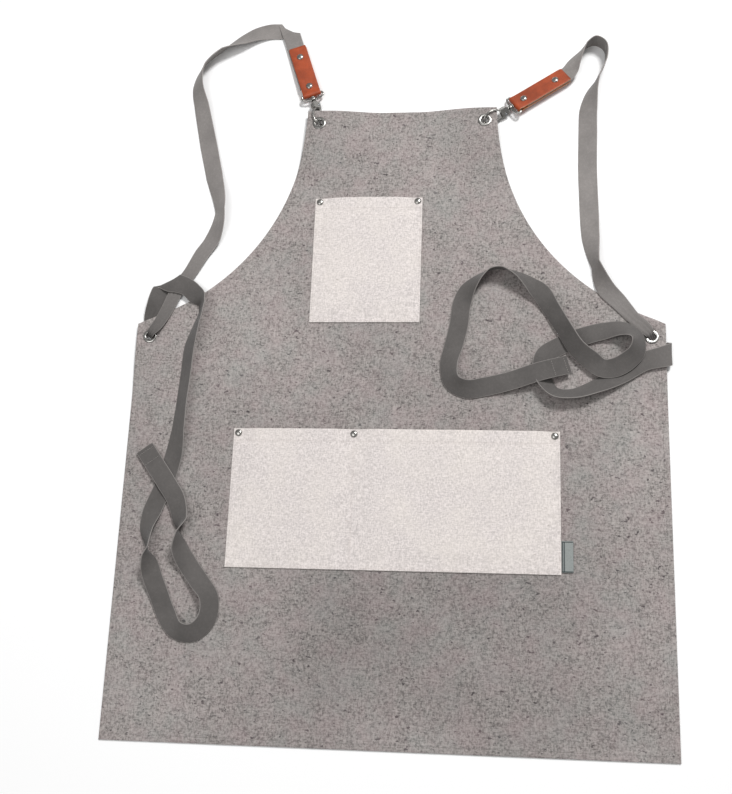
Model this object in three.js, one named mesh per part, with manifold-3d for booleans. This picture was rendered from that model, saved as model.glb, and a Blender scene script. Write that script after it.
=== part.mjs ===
// A bib apron for an artist: one cloth panel with two riveted pockets, two webbing straps that run
// from leather tabs over the shoulders, through the waist eyelets and on to free ends, and two swivel
// snap hooks that hold the tabs to the top corners. It lies face up. Millimetres; +X across the panel,
// +Y towards the neck, +Z out of the panel's face, origin on the underside of the panel at its middle.
import * as THREE from 'three';
import { mergeVertices } from 'three/addons/utils/BufferGeometryUtils.js';
import Module from 'manifold-3d';

const wasm = await Module();
wasm.setup();

// ---- driving dimensions -------------------------------------------------------------------------
const GAP = 0.3;

const PANEL = { halfWidth: 350, bottom: -430, waist: 112, top: 427, topHalfWidth: 132, thickness: 2 };
const ARMHOLE_HANDLES = [[134, 290], [200, 165]];

const TOP_EYELET = { x: 115.5, y: 407.5, lift: 9.7 };
const WAIST_EYELET = { x: 332, y: 93, lift: 4.5 };
const LIFT_FLAT = 14;
const LIFT_REACH = 95;
const EYELET = { bore: 5.2, barrel: 5.8, flange: 9.2, height: 0.7, washerOuter: 8.8, washerThick: 0.7 };

const CHEST_POCKET = { x: -42, bottom: 114, width: 148, height: 182, dividers: [] };
const WAIST_POCKET = { x: 3.5, bottom: -215, width: 422, height: 182, dividers: [-49] };
const POCKET_CLOTH = 1.2;
const POCKET_BULGE = 5.5;
const POCKET_RAMP = 22;
const RIVET_INSET = 6.5;
const PINCH_FLAT = 8;
const PINCH_REACH = 26;

const RIVET = { cap: 4.6, height: 2, post: 1.5, back: 4.6, backThick: 0.6 };
const POST_HOLE = RIVET.post + GAP;
const BACK_POCKET = 0.95;

const TAG = { width: 14.5, length: 39, rise: 3, thickness: 1 };

const WEBBING = { thickness: 1.5, bunched: 2.4, width: 25, step: 14 };

const TAB = { width: 25.5, length: 86, leather: 1.8, slot: 2.2, rivets: [13, 64.5] };
const LOOP = { halfWidth: 15.2, wire: 1.5, barY: 12.6, bossY: 4, bossRadius: 4.2 };
const STEM = { radius: 1.9, head: 3.4, headThick: 1.8 };
const BODY = { arm: -6, gate: 6.6, near: 1, far: 12.2, halfThick: 4 };
const SLOT = { inner: -0.6, near: 3.2, halfThick: 2.2 };
const PIVOT = { across: 3.6, along: 6.6, pin: 1.1, clearance: 0.35, root: 2.6 };
const HOOK_WIRE = 1.3;
const HOOK_ROLL = 45;
const HOOK_AXIS_HEIGHT = 8.2;
const HOLE_IN_HOOK = { across: -2.5, along: 36.6 };
const LEFT_HEADING = 18.4;
const RIGHT_HEADING = -57;
const LEFT_TAB = { pitch: -2.73, lean: 0 };
const RIGHT_TAB = { pitch: -0.38, lean: 12 };

// ---- free strap routes --------------------------------------------------------------------------
// x, y, z, lean, width, heading. The lean turns the webbing about its own run: 0 lies face up and 180
// face down. A heading in degrees is given only where the webbing folds or doubles back.
const LEFT_STRAP_ROUTE = [
  [-134.4, 465.8, 7.85, 0, 25, 108.4],
  [-144.8, 497.1, 6.2, 0, 25, 108.4],
  [-156.6, 532.7, 4.3, 0, 25, 108.4],
  [-166, 555, 3.9, 0, 25.5],
  [-170, 564, 2.7, 0, 34, 66],
  [-181, 564, 1.4, 180, 26],
  [-209, 564, 1.4, 180, 25],
  [-235, 547, 7.2, 210, 25],
  [-264, 528, 12.2, 248, 25],
  [-288, 503, 12.1, 246, 25],
  [-295, 475, 9.7, 225, 25],
  [-287, 438, 6.3, 205, 25],
  [-274, 381, 2.8, 188, 25],
  [-262, 333, 3.7, 192, 25],
  [-248, 276, 10.1, 228, 25],
  [-256, 237, 4.4, 195, 24],
  [-271, 213, 2.6, 186, 22],
  [-284, 187, 3.9, 180, 19],
  [-300, 161, 4.3, 180, 19],
  [-313, 126, 7.6, 180, 17],
  [-323, 105, 10.6, 180, 11],
  [-330.2, 95.4, 10.2, 180, 7],
  [-332, 93, 5.6, 180, 7],
  [-333, 93.6, 2.2, 180, 7, 250],
  [-335.5, 102, 1.7, 0, 9, 95],
  [-337, 116, 1.4, 0, 13, 80],
  [-329, 141, 5.0, 25, 20],
  [-321, 162, 2.0, 5, 28, 80],
  [-314, 172, 4.0, 0, 33, 118],
  [-305, 169, 7.0, 180, 30, -34],
  [-285, 164, 7.3, 180, 25],
  [-268, 155, 10.0, 205, 24],
  [-258, 142, 14.0, 242, 24],
  [-262, 126, 14.7, 240, 25],
  [-268, 106, 14.9, 230, 25],
  [-273, 78, 14.7, 223, 25],
  [-276, 37, 12.6, 223, 25],
  [-279, -5, 11.6, 223, 25],
  [-281, -38, 10.3, 215, 25],
  [-285, -71, 5.7, 192, 25],
  [-295, -111, 3.8, 180, 25],
  [-307, -144, 4.3, 182, 25],
  [-311, -170, 10.2, 215, 25],
  [-306, -195, 15.4, 255, 25],
  [-304, -207, 14.4, 300, 25],
  [-300, -227, 6.8, 345, 25],
  [-289, -252, 3.8, 360, 25],
  [-277, -277, 3.8, 360, 25],
  [-261, -296, 8.6, 385, 25],
  [-240, -298, 9.6, 390, 25],
  [-224, -282, 10.1, 392, 25],
  [-223, -255, 8.9, 388, 25],
  [-238, -234, 6.4, 373, 25],
  [-253, -215, 4.9, 365, 25],
  [-264, -196, 10.4, 395, 25],
  [-267, -176, 15.4, 447, 25],
  [-268, -157, 11.2, 510, 25],
  [-276, -131, 7.4, 532, 25],
  [-292, -107, 6.8, 540, 25],
  [-311, -81, 6.1, 540, 25],
  [-325, -62, 5.1, 540, 25],
];
const RIGHT_STRAP_ROUTE = [
  [168.2, 438.6, 8.15, -12, 25, 33],
  [195.9, 456.6, 7.9, -12, 25, 33],
  [219.2, 471.8, 7.75, -12, 25, 33],
  [227.3, 477.1, 7.7, -12, 25, 33],
  [233.5, 485, 8.4, -22, 25],
  [240, 499, 10.4, -45, 25],
  [254, 519, 12.9, -80, 25],
  [268, 527, 12.9, -90, 25],
  [281, 518, 12.9, -92, 25],
  [282, 497, 12.9, -95, 25],
  [270, 469, 12.7, -100, 25],
  [262, 450, 11.6, -125, 25],
  [257, 423, 5.5, -160, 25],
  [256, 386, 2.2, -175, 25],
  [255, 334, 1.1, -180, 25],
  [256, 274, 2.0, -176, 25],
  [257, 231, 7.2, -150, 25],
  [262, 192, 12.1, -110, 24],
  [274, 161, 8.3, -155, 24],
  [292, 141, 5.2, -180, 22],
  [310, 118, 7.6, -180, 17],
  [321.5, 105.5, 10.6, -180, 11],
  [330.2, 95.4, 10.2, -180, 7],
  [332, 93, 5.6, -180, 7],
  [334.2, 90.4, 2.0, -180, 7],
  [343, 80, 1.7, -180, 15, -40],
  [351, 74, 2.2, -180, 26, -3],
  [356, 70, 6.6, -180, 30, 0],
  [345, 65, 9.8, -360, 28, 200],
  [322, 59, 8.8, -360, 25],
  [292, 42, 6.0, -360, 25],
  [259, 25, 6.2, -348, 25],
  [230, 15, 9.2, -330, 25],
  [208, 17, 10.0, -326, 25],
  [196, 31, 9.2, -330, 25],
  [191, 50, 7.6, -340, 25],
  [196, 68, 4.8, -352, 25],
  [215, 81, 3.3, -360, 25],
  [239, 92, 4.1, -360, 25],
  [269, 100, 7.0, -368, 25],
  [297, 101, 15.3, -390, 25],
  [312, 89, 22.3, -402, 25],
  [312, 71, 19.6, -394, 25],
  [300, 58, 15.2, -382, 25],
  [284, 50, 10.7, -370, 25],
  [268, 50, 8.2, -360, 25],
  [253, 60, 11.5, -380, 25],
  [236, 75, 12.9, -388, 25],
  [220, 102, 11.6, -390, 25],
  [204, 131, 7.5, -380, 25],
  [192, 152, 5.7, -352, 25],
  [177, 167, 9.8, -327, 25],
  [161, 178, 13.3, -302, 25],
  [141, 186, 14.8, -284, 25],
  [124, 184, 14.8, -284, 25],
  [109, 174, 13.3, -302, 25],
  [96, 160, 9.2, -330, 25],
  [88, 141, 4.8, -354, 25],
  [84, 110, 3.5, -360, 25],
  [78, 82, 4.3, -356, 25],
  [72, 54, 7.6, -340, 25],
  [77, 30, 10.0, -326, 25],
  [95, 21, 8.9, -332, 25],
  [119, 25, 5.3, -352, 25],
  [151, 32, 8.6, -360, 25],
  [189, 43, 15.9, -360, 25],
  [226, 54, 10.2, -360, 25],
];

// ---- materials ----------------------------------------------------------------------------------
const finish = (color, roughness, metalness) =>
  new THREE.MeshStandardMaterial({ color, roughness, metalness });
const CANVAS = finish(0xa59e99, 0.95, 0);
const POCKET_CANVAS = finish(0xe8e2de, 0.92, 0);
const WEBBING_GREY = finish(0x807d7a, 0.8, 0);
const LEATHER = finish(0xac4e2a, 0.55, 0);
const NICKEL = finish(0xc8c8c6, 0.25, 1);
const SPRING_STEEL = finish(0x8f9296, 0.35, 1);
const TAG_CLOTH = finish(0x8a8c8c, 0.85, 0);

// ---- solids -------------------------------------------------------------------------------------
function toManifold(geometry) {
  const bare = geometry.clone();
  bare.deleteAttribute('normal');
  bare.deleteAttribute('uv');
  const merged = mergeVertices(bare, 1e-4);
  return new wasm.Manifold(new wasm.Mesh({
    numProp: 3,
    vertProperties: new Float32Array(merged.attributes.position.array),
    triVerts: new Uint32Array(merged.index.array),
  }));
}

function toGeometry(manifold) {
  const mesh = manifold.getMesh();
  const geometry = new THREE.BufferGeometry();
  geometry.setAttribute('position', new THREE.BufferAttribute(mesh.vertProperties, 3));
  geometry.setIndex(new THREE.BufferAttribute(mesh.triVerts, 1));
  return geometry;
}

const join = (first, ...rest) =>
  toGeometry(rest.reduce((whole, next) => whole.add(toManifold(next)), toManifold(first)));
const cut = (first, ...rest) =>
  toGeometry(rest.reduce((whole, next) => whole.subtract(toManifold(next)), toManifold(first)));
const common = (first, second) => toGeometry(toManifold(first).intersect(toManifold(second)));

// A cylinder standing on z = low.
function post(radius, low, high, sides = 16) {
  const geometry = new THREE.CylinderGeometry(radius, radius, high - low, sides);
  geometry.rotateX(Math.PI / 2);
  geometry.translate(0, 0, (low + high) / 2);
  return geometry;
}

// A turned piece about the Z axis, from [radius, height] points that close on the axis or on themselves.
function turned(points, sides) {
  const geometry = new THREE.LatheGeometry(points.map(([r, z]) => new THREE.Vector2(r, z)), sides);
  geometry.rotateX(Math.PI / 2);
  return geometry;
}

// A round bar along a smooth run of points.
function bar(points, radius, steps, sides = 8) {
  const section = new THREE.Shape();
  section.absarc(0, 0, radius, 0, 2 * Math.PI, false);
  const path = new THREE.CatmullRomCurve3(points.map((p) => new THREE.Vector3(...p)));
  return new THREE.ExtrudeGeometry(section, { steps, extrudePath: path, curveSegments: sides / 2 });
}

function block(low, high) {
  const size = low.map((value, axis) => high[axis] - value);
  const geometry = new THREE.BoxGeometry(...size);
  geometry.translate(...low.map((value, axis) => (value + high[axis]) / 2));
  return geometry;
}

function plate(shape, low, high) {
  const geometry = new THREE.ExtrudeGeometry(shape, {
    depth: high - low,
    bevelEnabled: false,
    curveSegments: 10,
  });
  geometry.translate(0, 0, low);
  return geometry;
}

const smooth = (value) => {
  const t = Math.min(1, Math.max(0, value));
  return t * t * (3 - 2 * t);
};

// ---- cloth --------------------------------------------------------------------------------------
const CORNERS = [TOP_EYELET, WAIST_EYELET].flatMap(({ x, y, lift }) =>
  [-1, 1].map((side) => ({ x: side * x, y, lift })));

// Height of the panel's underside: it rises at each corner, where a hook or a strap passes under it.
function panelRise(x, y) {
  const rises = CORNERS.map((corner) => {
    const distance = Math.hypot(x - corner.x, y - corner.y);
    return corner.lift * smooth((LIFT_REACH - distance) / (LIFT_REACH - LIFT_FLAT));
  });
  return Math.max(...rises);
}

// A slab with grid lines at the given places, its underside at rise(x, y).
function clothSlab(xLines, yLines, thickness, rise) {
  const columns = xLines.length - 1;
  const rows = yLines.length - 1;
  const geometry = new THREE.BoxGeometry(1, 1, 1, columns, rows, 1);
  const position = geometry.attributes.position;
  for (let i = 0; i < position.count; i += 1) {
    const x = xLines[Math.round((position.getX(i) + 0.5) * columns)];
    const y = yLines[Math.round((position.getY(i) + 0.5) * rows)];
    const top = position.getZ(i) > 0 ? thickness : 0;
    position.setXYZ(i, x, y, rise(x, y) + top);
  }
  return geometry;
}

function panelOutline() {
  const { halfWidth, bottom, waist, top, topHalfWidth } = PANEL;
  const [[ax, ay], [bx, by]] = ARMHOLE_HANDLES;
  const shape = new THREE.Shape();
  shape.moveTo(-halfWidth, bottom);
  shape.lineTo(halfWidth, bottom);
  shape.lineTo(halfWidth, waist);
  shape.bezierCurveTo(bx, by, ax, ay, topHalfWidth, top);
  shape.lineTo(-topHalfWidth, top);
  shape.bezierCurveTo(-ax, ay, -bx, by, -halfWidth, waist);
  shape.closePath();
  return shape;
}

const mirrored = (values) => [...values.map((value) => -value).reverse(), ...values];

function panelGeometry() {
  const xLines = mirrored([45, 80, 104, 127, 150, 185, 225, 260, 285, 305, 321, 343, 362]);
  const yLines = [-440, -160, 0, 28, 48, 64, 82, 104, 125, 148, 180, 312, 338, 362, 382, 397, 418, 440];
  const slab = clothSlab(xLines, yLines, PANEL.thickness, panelRise);
  const cloth = common(slab, plate(panelOutline(), -10, 60));
  const eyeletHoles = CORNERS.map(({ x, y }) =>
    post(EYELET.barrel + GAP, -10, 60, 24).translate(x, y, 0));
  const postHoles = pocketRivetPlaces().map(({ x, y }) => post(POST_HOLE, -10, 10, 12).translate(x, y, 0));
  const backRecesses = pocketRivetPlaces().map(({ x, y }) =>
    post(RIVET.back + GAP, -10, BACK_POCKET, 20).translate(x, y, 0));
  return cut(cloth, ...eyeletHoles, ...postHoles, ...backRecesses);
}

function rivetPlaces({ x, bottom, width, height, dividers }) {
  const y = bottom + height - RIVET_INSET;
  const left = x - width / 2 + RIVET_INSET;
  const right = x + width / 2 - RIVET_INSET;
  return [left, ...dividers, right].map((place) => ({ x: place, y }));
}

function pocketRivetPlaces() {
  return [...rivetPlaces(CHEST_POCKET), ...rivetPlaces(WAIST_POCKET)];
}

// The pocket's cloth is stitched down on three sides and at each divider, pinched at each rivet, and
// stands off the panel between them, open towards the neck.
function pocketGeometry(pocket) {
  const { x, bottom, width, height, dividers } = pocket;
  const left = x - width / 2;
  const right = x + width / 2;
  const base = PANEL.thickness + GAP;
  const rise = (px, py) => {
    const seams = [px - left, right - px, py - bottom, ...dividers.map((d) => Math.abs(px - d))];
    const pinches = rivetPlaces(pocket).map((rivet) =>
      (Math.hypot(px - rivet.x, py - rivet.y) - PINCH_FLAT) / (PINCH_REACH - PINCH_FLAT));
    const seamRise = seams.reduce((product, distance) => product * smooth(distance / POCKET_RAMP), 1);
    return base + POCKET_BULGE * pinches.reduce((product, t) => product * smooth(t), seamRise);
  };
  const edge = [0, 7, 14, 22, 32];
  const xStops = [left, ...dividers, right];
  const xLines = xStops.slice(1).flatMap((stop, i) => {
    const start = xStops[i];
    const middle = [(start + stop) / 2];
    const near = edge.map((step) => start + step);
    const far = edge.slice(1).map((step) => stop - step).reverse();
    return [...near, ...middle, ...far];
  });
  xLines.push(right);
  const top = bottom + height;
  const yLines = [...edge.map((step) => bottom + step), bottom + height / 2,
    ...[42, 30, 22, 14, 7, 0].map((step) => top - step)];
  const holes = rivetPlaces(pocket).map((rivet) =>
    post(POST_HOLE, -10, 20, 12).translate(rivet.x, rivet.y, 0));
  return cut(clothSlab(xLines, yLines, POCKET_CLOTH, rise), ...holes);
}

function tagGeometry() {
  const left = WAIST_POCKET.x + WAIST_POCKET.width / 2 + GAP;
  const bottom = WAIST_POCKET.bottom + TAG.rise;
  const low = PANEL.thickness + GAP;
  return block([left, bottom, low], [left + TAG.width, bottom + TAG.length, low + TAG.thickness]);
}

// ---- metal fittings on the cloth -----------------------------------------------------------------
function eyeletGeometry() {
  const { bore, barrel, flange, height } = EYELET;
  const deck = PANEL.thickness + GAP;
  return turned([
    [bore, -1.2],
    [barrel, -1.2],
    [barrel, deck],
    [flange, deck],
    [flange - 0.5, deck + height * 0.55],
    [flange - 1.7, deck + height],
    [bore + 1, deck + height],
    [bore, deck + height * 0.55],
    [bore, -1.2],
  ], 24);
}

function washerGeometry() {
  const { barrel, washerOuter, washerThick } = EYELET;
  return turned([
    [barrel + GAP, -GAP - washerThick],
    [washerOuter, -GAP - washerThick],
    [washerOuter, -GAP],
    [barrel + GAP, -GAP],
    [barrel + GAP, -GAP - washerThick],
  ], 20);
}

// A rivet's cap with its post, seated on z = 0 and reaching down to z = -depth.
function rivetGeometry(depth) {
  const { cap, height, post: shank } = RIVET;
  return turned([
    [0, -depth],
    [shank, -depth],
    [shank, 0],
    [cap, 0],
    [cap, 0.5],
    [cap * 0.85, height * 0.68],
    [cap * 0.5, height * 0.94],
    [0, height],
  ], 12);
}

function rivetBackGeometry() {
  const { back, backThick } = RIVET;
  return turned([[0, 0], [back - 0.4, 0], [back, 0.25], [back, backThick], [0, backThick]], 12);
}

// ---- webbing ------------------------------------------------------------------------------------
// The webbing's crosswise direction at each point of a route.
function crossDirections(route) {
  return route.map(([, , , lean, , heading], i) => {
    const before = route[Math.max(i - 1, 0)];
    const after = route[Math.min(i + 1, route.length - 1)];
    const auto = Math.atan2(after[1] - before[1], after[0] - before[0]);
    const along = heading === undefined ? auto : THREE.MathUtils.degToRad(heading);
    const turn = THREE.MathUtils.degToRad(lean);
    return new THREE.Vector3(-Math.sin(along) * Math.cos(turn), Math.cos(along) * Math.cos(turn), Math.sin(turn));
  });
}

function ribbonGeometry(route) {
  const places = route.map(([x, y, z]) => new THREE.Vector3(x, y, z));
  const curve = new THREE.CatmullRomCurve3(places);
  const cross = crossDirections(route);
  const spans = route.length - 1;
  const rows = [];
  for (let i = 0; i < spans; i += 1) {
    const steps = Math.max(2, Math.ceil(places[i].distanceTo(places[i + 1]) / WEBBING.step));
    for (let k = 0; k < steps + (i === spans - 1 ? 1 : 0); k += 1) {
      const t = k / steps;
      rows.push({
        centre: curve.getPoint((i + t) / spans),
        side: cross[i].clone().lerp(cross[i + 1], t).normalize(),
        width: THREE.MathUtils.lerp(route[i][4], route[i + 1][4], t),
      });
    }
  }
  const position = [];
  rows.forEach(({ centre, side, width }, i) => {
    const before = rows[Math.max(i - 1, 0)].centre;
    const after = rows[Math.min(i + 1, rows.length - 1)].centre;
    const run = after.clone().sub(before).normalize();
    const normal = run.cross(side).normalize();
    const slack = smooth((WEBBING.width - width) / (WEBBING.width - 8));
    const thickness = THREE.MathUtils.lerp(WEBBING.thickness, WEBBING.bunched, slack);
    const corners = [[-1, -1], [1, -1], [1, 1], [-1, 1]].map(([across, up]) => {
      const corner = centre.clone().addScaledVector(side, across * width / 2);
      return corner.addScaledVector(normal, up * thickness / 2);
    });
    const lowest = Math.min(...corners.map((corner) => corner.z));
    const raised = Math.max(0, GAP - lowest);
    corners.forEach((corner) => position.push(corner.x, corner.y, corner.z + raised));
  });
  const index = [2, 1, 0, 3, 2, 0];
  for (let i = 0; i < rows.length - 1; i += 1) {
    for (let edge = 0; edge < 4; edge += 1) {
      const a = 4 * i + edge;
      const b = 4 * i + ((edge + 1) % 4);
      index.push(a, b, a + 4, b, b + 4, a + 4);
    }
  }
  const last = 4 * (rows.length - 1);
  index.push(last, last + 1, last + 2, last, last + 2, last + 3);
  const geometry = new THREE.BufferGeometry();
  geometry.setAttribute('position', new THREE.Float32BufferAttribute(position, 3));
  geometry.setIndex(index);
  return geometry;
}

// ---- leather tab, in its own frame: the loop's bar is the X axis, the tab runs along +Y -----------
function tabGeometry() {
  const { width, length, leather, slot } = TAB;
  const inner = LOOP.wire + GAP + 0.1;
  const outer = inner + leather;
  const end = length - outer;
  const half = slot / 2;
  const neck = 6.5;
  const outline = new THREE.Shape();
  outline.moveTo(end, half);
  outline.lineTo(end, half + leather);
  outline.lineTo(neck, half + leather);
  outline.lineTo(0, outer);
  outline.absarc(0, 0, outer, Math.PI / 2, 1.5 * Math.PI, false);
  outline.lineTo(neck, -half - leather);
  outline.lineTo(end, -half - leather);
  outline.lineTo(end, -half);
  outline.lineTo(neck * 0.7, -half);
  outline.lineTo(0, -inner);
  outline.absarc(0, 0, inner, 1.5 * Math.PI, Math.PI / 2, true);
  outline.lineTo(neck * 0.7, half);
  outline.closePath();
  const geometry = plate(outline, -width / 2, width / 2);
  geometry.rotateY(Math.PI / 2);
  geometry.rotateX(Math.PI / 2);
  const holes = TAB.rivets.map((y) => post(POST_HOLE, -12, 12, 12).translate(0, y, 0));
  return { geometry, holes };
}

// ---- swivel snap hook, in its own frame: swivel on the Y axis, the tab towards +Y ----------------
// The loop lies in the XY plane; its bar is at y = LOOP.barY.
function loopGeometry() {
  const { halfWidth, wire, barY, bossY, bossRadius } = LOOP;
  const half = (side) => bar([
    [0, barY, 0],
    [side * (halfWidth - 4), barY, 0],
    [side * (halfWidth - 1.4), barY - 0.1, 0],
    [side * (halfWidth - 0.2), barY - 1.6, 0],
    [side * halfWidth, barY - 4.5, 0],
    [side * (halfWidth - 2.8), bossY + 2, 0],
    [side * 7, bossY + 0.6, 0],
    [side * 2.8, bossY, 0],
  ], wire, 18);
  const boss = post(bossRadius, -2, 2, 20).rotateX(Math.PI / 2).translate(0, bossY, 0);
  const bore = post(STEM.radius + GAP, -10, 10, 16).rotateX(Math.PI / 2).translate(0, bossY, 0);
  return cut(join(boss, half(-1), half(1)), bore);
}

// Points in the hook's own plane: across (towards the gate) and along (towards the hook's bend).
const inHook = (across, along, out = 0) => [across, -along, out];

function hookBodyGeometry() {
  const { arm, gate, near, far, halfThick } = BODY;
  const outline = new THREE.Shape();
  outline.moveTo(arm + 1.6, -far);
  outline.lineTo(gate - 1.2, -far);
  outline.lineTo(gate, -far + 1.2);
  outline.lineTo(gate, -near - 2);
  outline.lineTo(gate - 3, -near);
  outline.lineTo(arm + 3, -near);
  outline.lineTo(arm, -near - 2.4);
  outline.lineTo(arm, -far + 2);
  outline.closePath();
  const box = plate(outline, -halfThick, halfThick);
  const stem = post(STEM.radius, -2.5, LOOP.bossY + 2 + GAP + STEM.headThick, 16).rotateX(-Math.PI / 2);
  const headLow = LOOP.bossY + 2 + GAP;
  const head = post(STEM.head, headLow, headLow + STEM.headThick, 20).rotateX(-Math.PI / 2);
  const arc = bar([
    inHook(-3.6, 9.5),
    inHook(-6.6, 14),
    inHook(-9.4, 20),
    inHook(-10.2, 27),
    inHook(-8.8, 32.6),
    inHook(-4.4, 36.8),
    inHook(0.8, 38),
    inHook(5.2, 36),
    inHook(7.4, 31.8),
    inHook(7.6, 28.2),
  ], HOOK_WIRE, 26, 10);
  const slot = block(
    [SLOT.inner, -far - 2, -SLOT.halfThick],
    [gate + 4, -SLOT.near, SLOT.halfThick],
  );
  const pinHole = post(PIVOT.pin + PIVOT.clearance, -10, 10, 16);
  pinHole.translate(...inHook(PIVOT.across, PIVOT.along));
  return cut(join(box, stem, head, arc), slot, pinHole);
}

function gateGeometry() {
  const { across, along, root, pin, clearance } = PIVOT;
  const hub = post(root, -1.9, 0.2, 18).translate(...inHook(across, along));
  const blade = new THREE.Shape();
  blade.moveTo(across - 1.2, -along - 1);
  blade.lineTo(5.1, -13.4);
  blade.lineTo(6.5, -27.4);
  blade.lineTo(8.7, -27.4);
  blade.lineTo(8, -14.4);
  blade.lineTo(9.4, -10.6);
  blade.lineTo(9, -8.6);
  blade.lineTo(7, -8);
  blade.lineTo(across + 2.4, -along - 0.4);
  blade.closePath();
  const leaf = plate(blade, -1.3, 0.2);
  const tip = new THREE.Shape();
  tip.moveTo(5.1, -13.4);
  tip.lineTo(6.5, -27.4);
  tip.lineTo(8.7, -27.4);
  tip.lineTo(8, -14.4);
  tip.closePath();
  const bore = post(pin + clearance, -10, 10, 16).translate(...inHook(across, along));
  return cut(join(hub, leaf, plate(tip, -1.3, 1.3)), bore);
}

function pinGeometry() {
  const reach = BODY.halfThick + 0.4;
  return post(PIVOT.pin, -reach, reach, 14).translate(...inHook(PIVOT.across, PIVOT.along));
}

// A torsion spring of two turns beside the gate's hub, round the pin.
function springGeometry() {
  const turns = 2;
  const perTurn = 9;
  const radius = PIVOT.pin + 0.8;
  const points = Array.from({ length: turns * perTurn + 1 }, (_, i) => {
    const angle = 2 * Math.PI * i / perTurn;
    return [radius * Math.cos(angle), radius * Math.sin(angle), 0.8 + 0.75 * i / (turns * perTurn)];
  });
  return bar(points, 0.27, turns * perTurn, 3).translate(...inHook(PIVOT.across, PIVOT.along));
}

// ---- assembly -----------------------------------------------------------------------------------
const apron = new THREE.Group();

function add(parent, name, geometry, material) {
  const mesh = new THREE.Mesh(geometry, material);
  mesh.name = name;
  parent.add(mesh);
  return mesh;
}

add(apron, 'apron_panel', panelGeometry(), CANVAS);
add(apron, 'chest_pocket', pocketGeometry(CHEST_POCKET), POCKET_CANVAS);
add(apron, 'waist_pocket', pocketGeometry(WAIST_POCKET), POCKET_CANVAS);
add(apron, 'side_tag', tagGeometry(), TAG_CLOTH);

const CORNER_NAMES = ['top_left', 'top_right', 'waist_left', 'waist_right'];
CORNERS.forEach(({ x, y, lift }, i) => {
  add(apron, `${CORNER_NAMES[i]}_eyelet`, eyeletGeometry(), NICKEL).position.set(x, y, lift);
  add(apron, `${CORNER_NAMES[i]}_washer`, washerGeometry(), NICKEL).position.set(x, y, lift);
});

const POCKET_RIVET_NAMES = ['chest_left', 'chest_right', 'waist_pocket_left', 'waist_pocket_middle',
  'waist_pocket_right'];
const POCKET_DECK = PANEL.thickness + GAP + POCKET_CLOTH + GAP;
pocketRivetPlaces().forEach(({ x, y }, i) => {
  const rivet = rivetGeometry(POCKET_DECK - RIVET.backThick - GAP - 0.1);
  add(apron, `${POCKET_RIVET_NAMES[i]}_rivet`, rivet, NICKEL).position.set(x, y, POCKET_DECK);
  add(apron, `${POCKET_RIVET_NAMES[i]}_rivet_back`, rivetBackGeometry(), NICKEL).position.set(x, y, 0.05);
});

// Each side hangs on one group: the hook's swivel is its origin and its heading turns it on the floor.
function addSide(name, eyelet, heading, tabPose, route) {
  const turn = THREE.MathUtils.degToRad(heading);
  const hole = new THREE.Vector3(HOLE_IN_HOOK.across, -HOLE_IN_HOOK.along, 0);
  hole.applyAxisAngle(new THREE.Vector3(0, 0, 1), turn);
  const side = new THREE.Group();
  side.position.set(eyelet.x - hole.x, eyelet.y - hole.y, HOOK_AXIS_HEIGHT);
  side.rotation.z = turn;
  apron.add(side);

  const hook = new THREE.Group();
  hook.rotation.y = THREE.MathUtils.degToRad(HOOK_ROLL);
  side.add(hook);
  add(hook, `${name}_hook_body`, hookBodyGeometry(), NICKEL);
  add(hook, `${name}_hook_gate`, gateGeometry(), NICKEL);
  add(hook, `${name}_gate_pin`, pinGeometry(), SPRING_STEEL);
  add(hook, `${name}_gate_spring`, springGeometry(), SPRING_STEEL);

  const ring = new THREE.Group();
  ring.rotation.y = THREE.MathUtils.degToRad(-tabPose.lean);
  side.add(ring);
  add(ring, `${name}_hook_loop`, loopGeometry(), NICKEL);

  const tab = new THREE.Group();
  tab.position.set(0, LOOP.barY, 0);
  tab.rotation.x = THREE.MathUtils.degToRad(tabPose.pitch);
  ring.add(tab);
  const leather = tabGeometry();
  add(tab, `${name}_leather_tab`, cut(leather.geometry, ...leather.holes), LEATHER);
  const deck = TAB.slot / 2 + TAB.leather + GAP;
  TAB.rivets.forEach((y, i) => {
    const place = i === 0 ? 'lower' : 'upper';
    const rivet = add(tab, `${name}_tab_${place}_rivet`, rivetGeometry(2 * deck - GAP), NICKEL);
    rivet.position.set(0, y, deck);
    const back = add(tab, `${name}_tab_${place}_rivet_back`, rivetBackGeometry(), NICKEL);
    back.position.set(0, y, -deck - RIVET.backThick);
  });

  tab.updateWorldMatrix(true, false);
  const strapHoles = leather.holes.map((hole2) => hole2.clone().applyMatrix4(tab.matrixWorld));
  add(apron, `${name}_strap`, cut(ribbonGeometry(route), ...strapHoles), WEBBING_GREY);
}

const [TOP_LEFT, TOP_RIGHT] = CORNERS;
addSide('left', TOP_LEFT, LEFT_HEADING, LEFT_TAB, LEFT_STRAP_ROUTE);
addSide('right', TOP_RIGHT, RIGHT_HEADING, RIGHT_TAB, RIGHT_STRAP_ROUTE);

export default apron;
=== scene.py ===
import math
import random
from bisect import bisect_right

import bmesh
import bpy
from bpy.props import FloatProperty, FloatVectorProperty, PointerProperty
from mathutils import Matrix, Vector, noise


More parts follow.
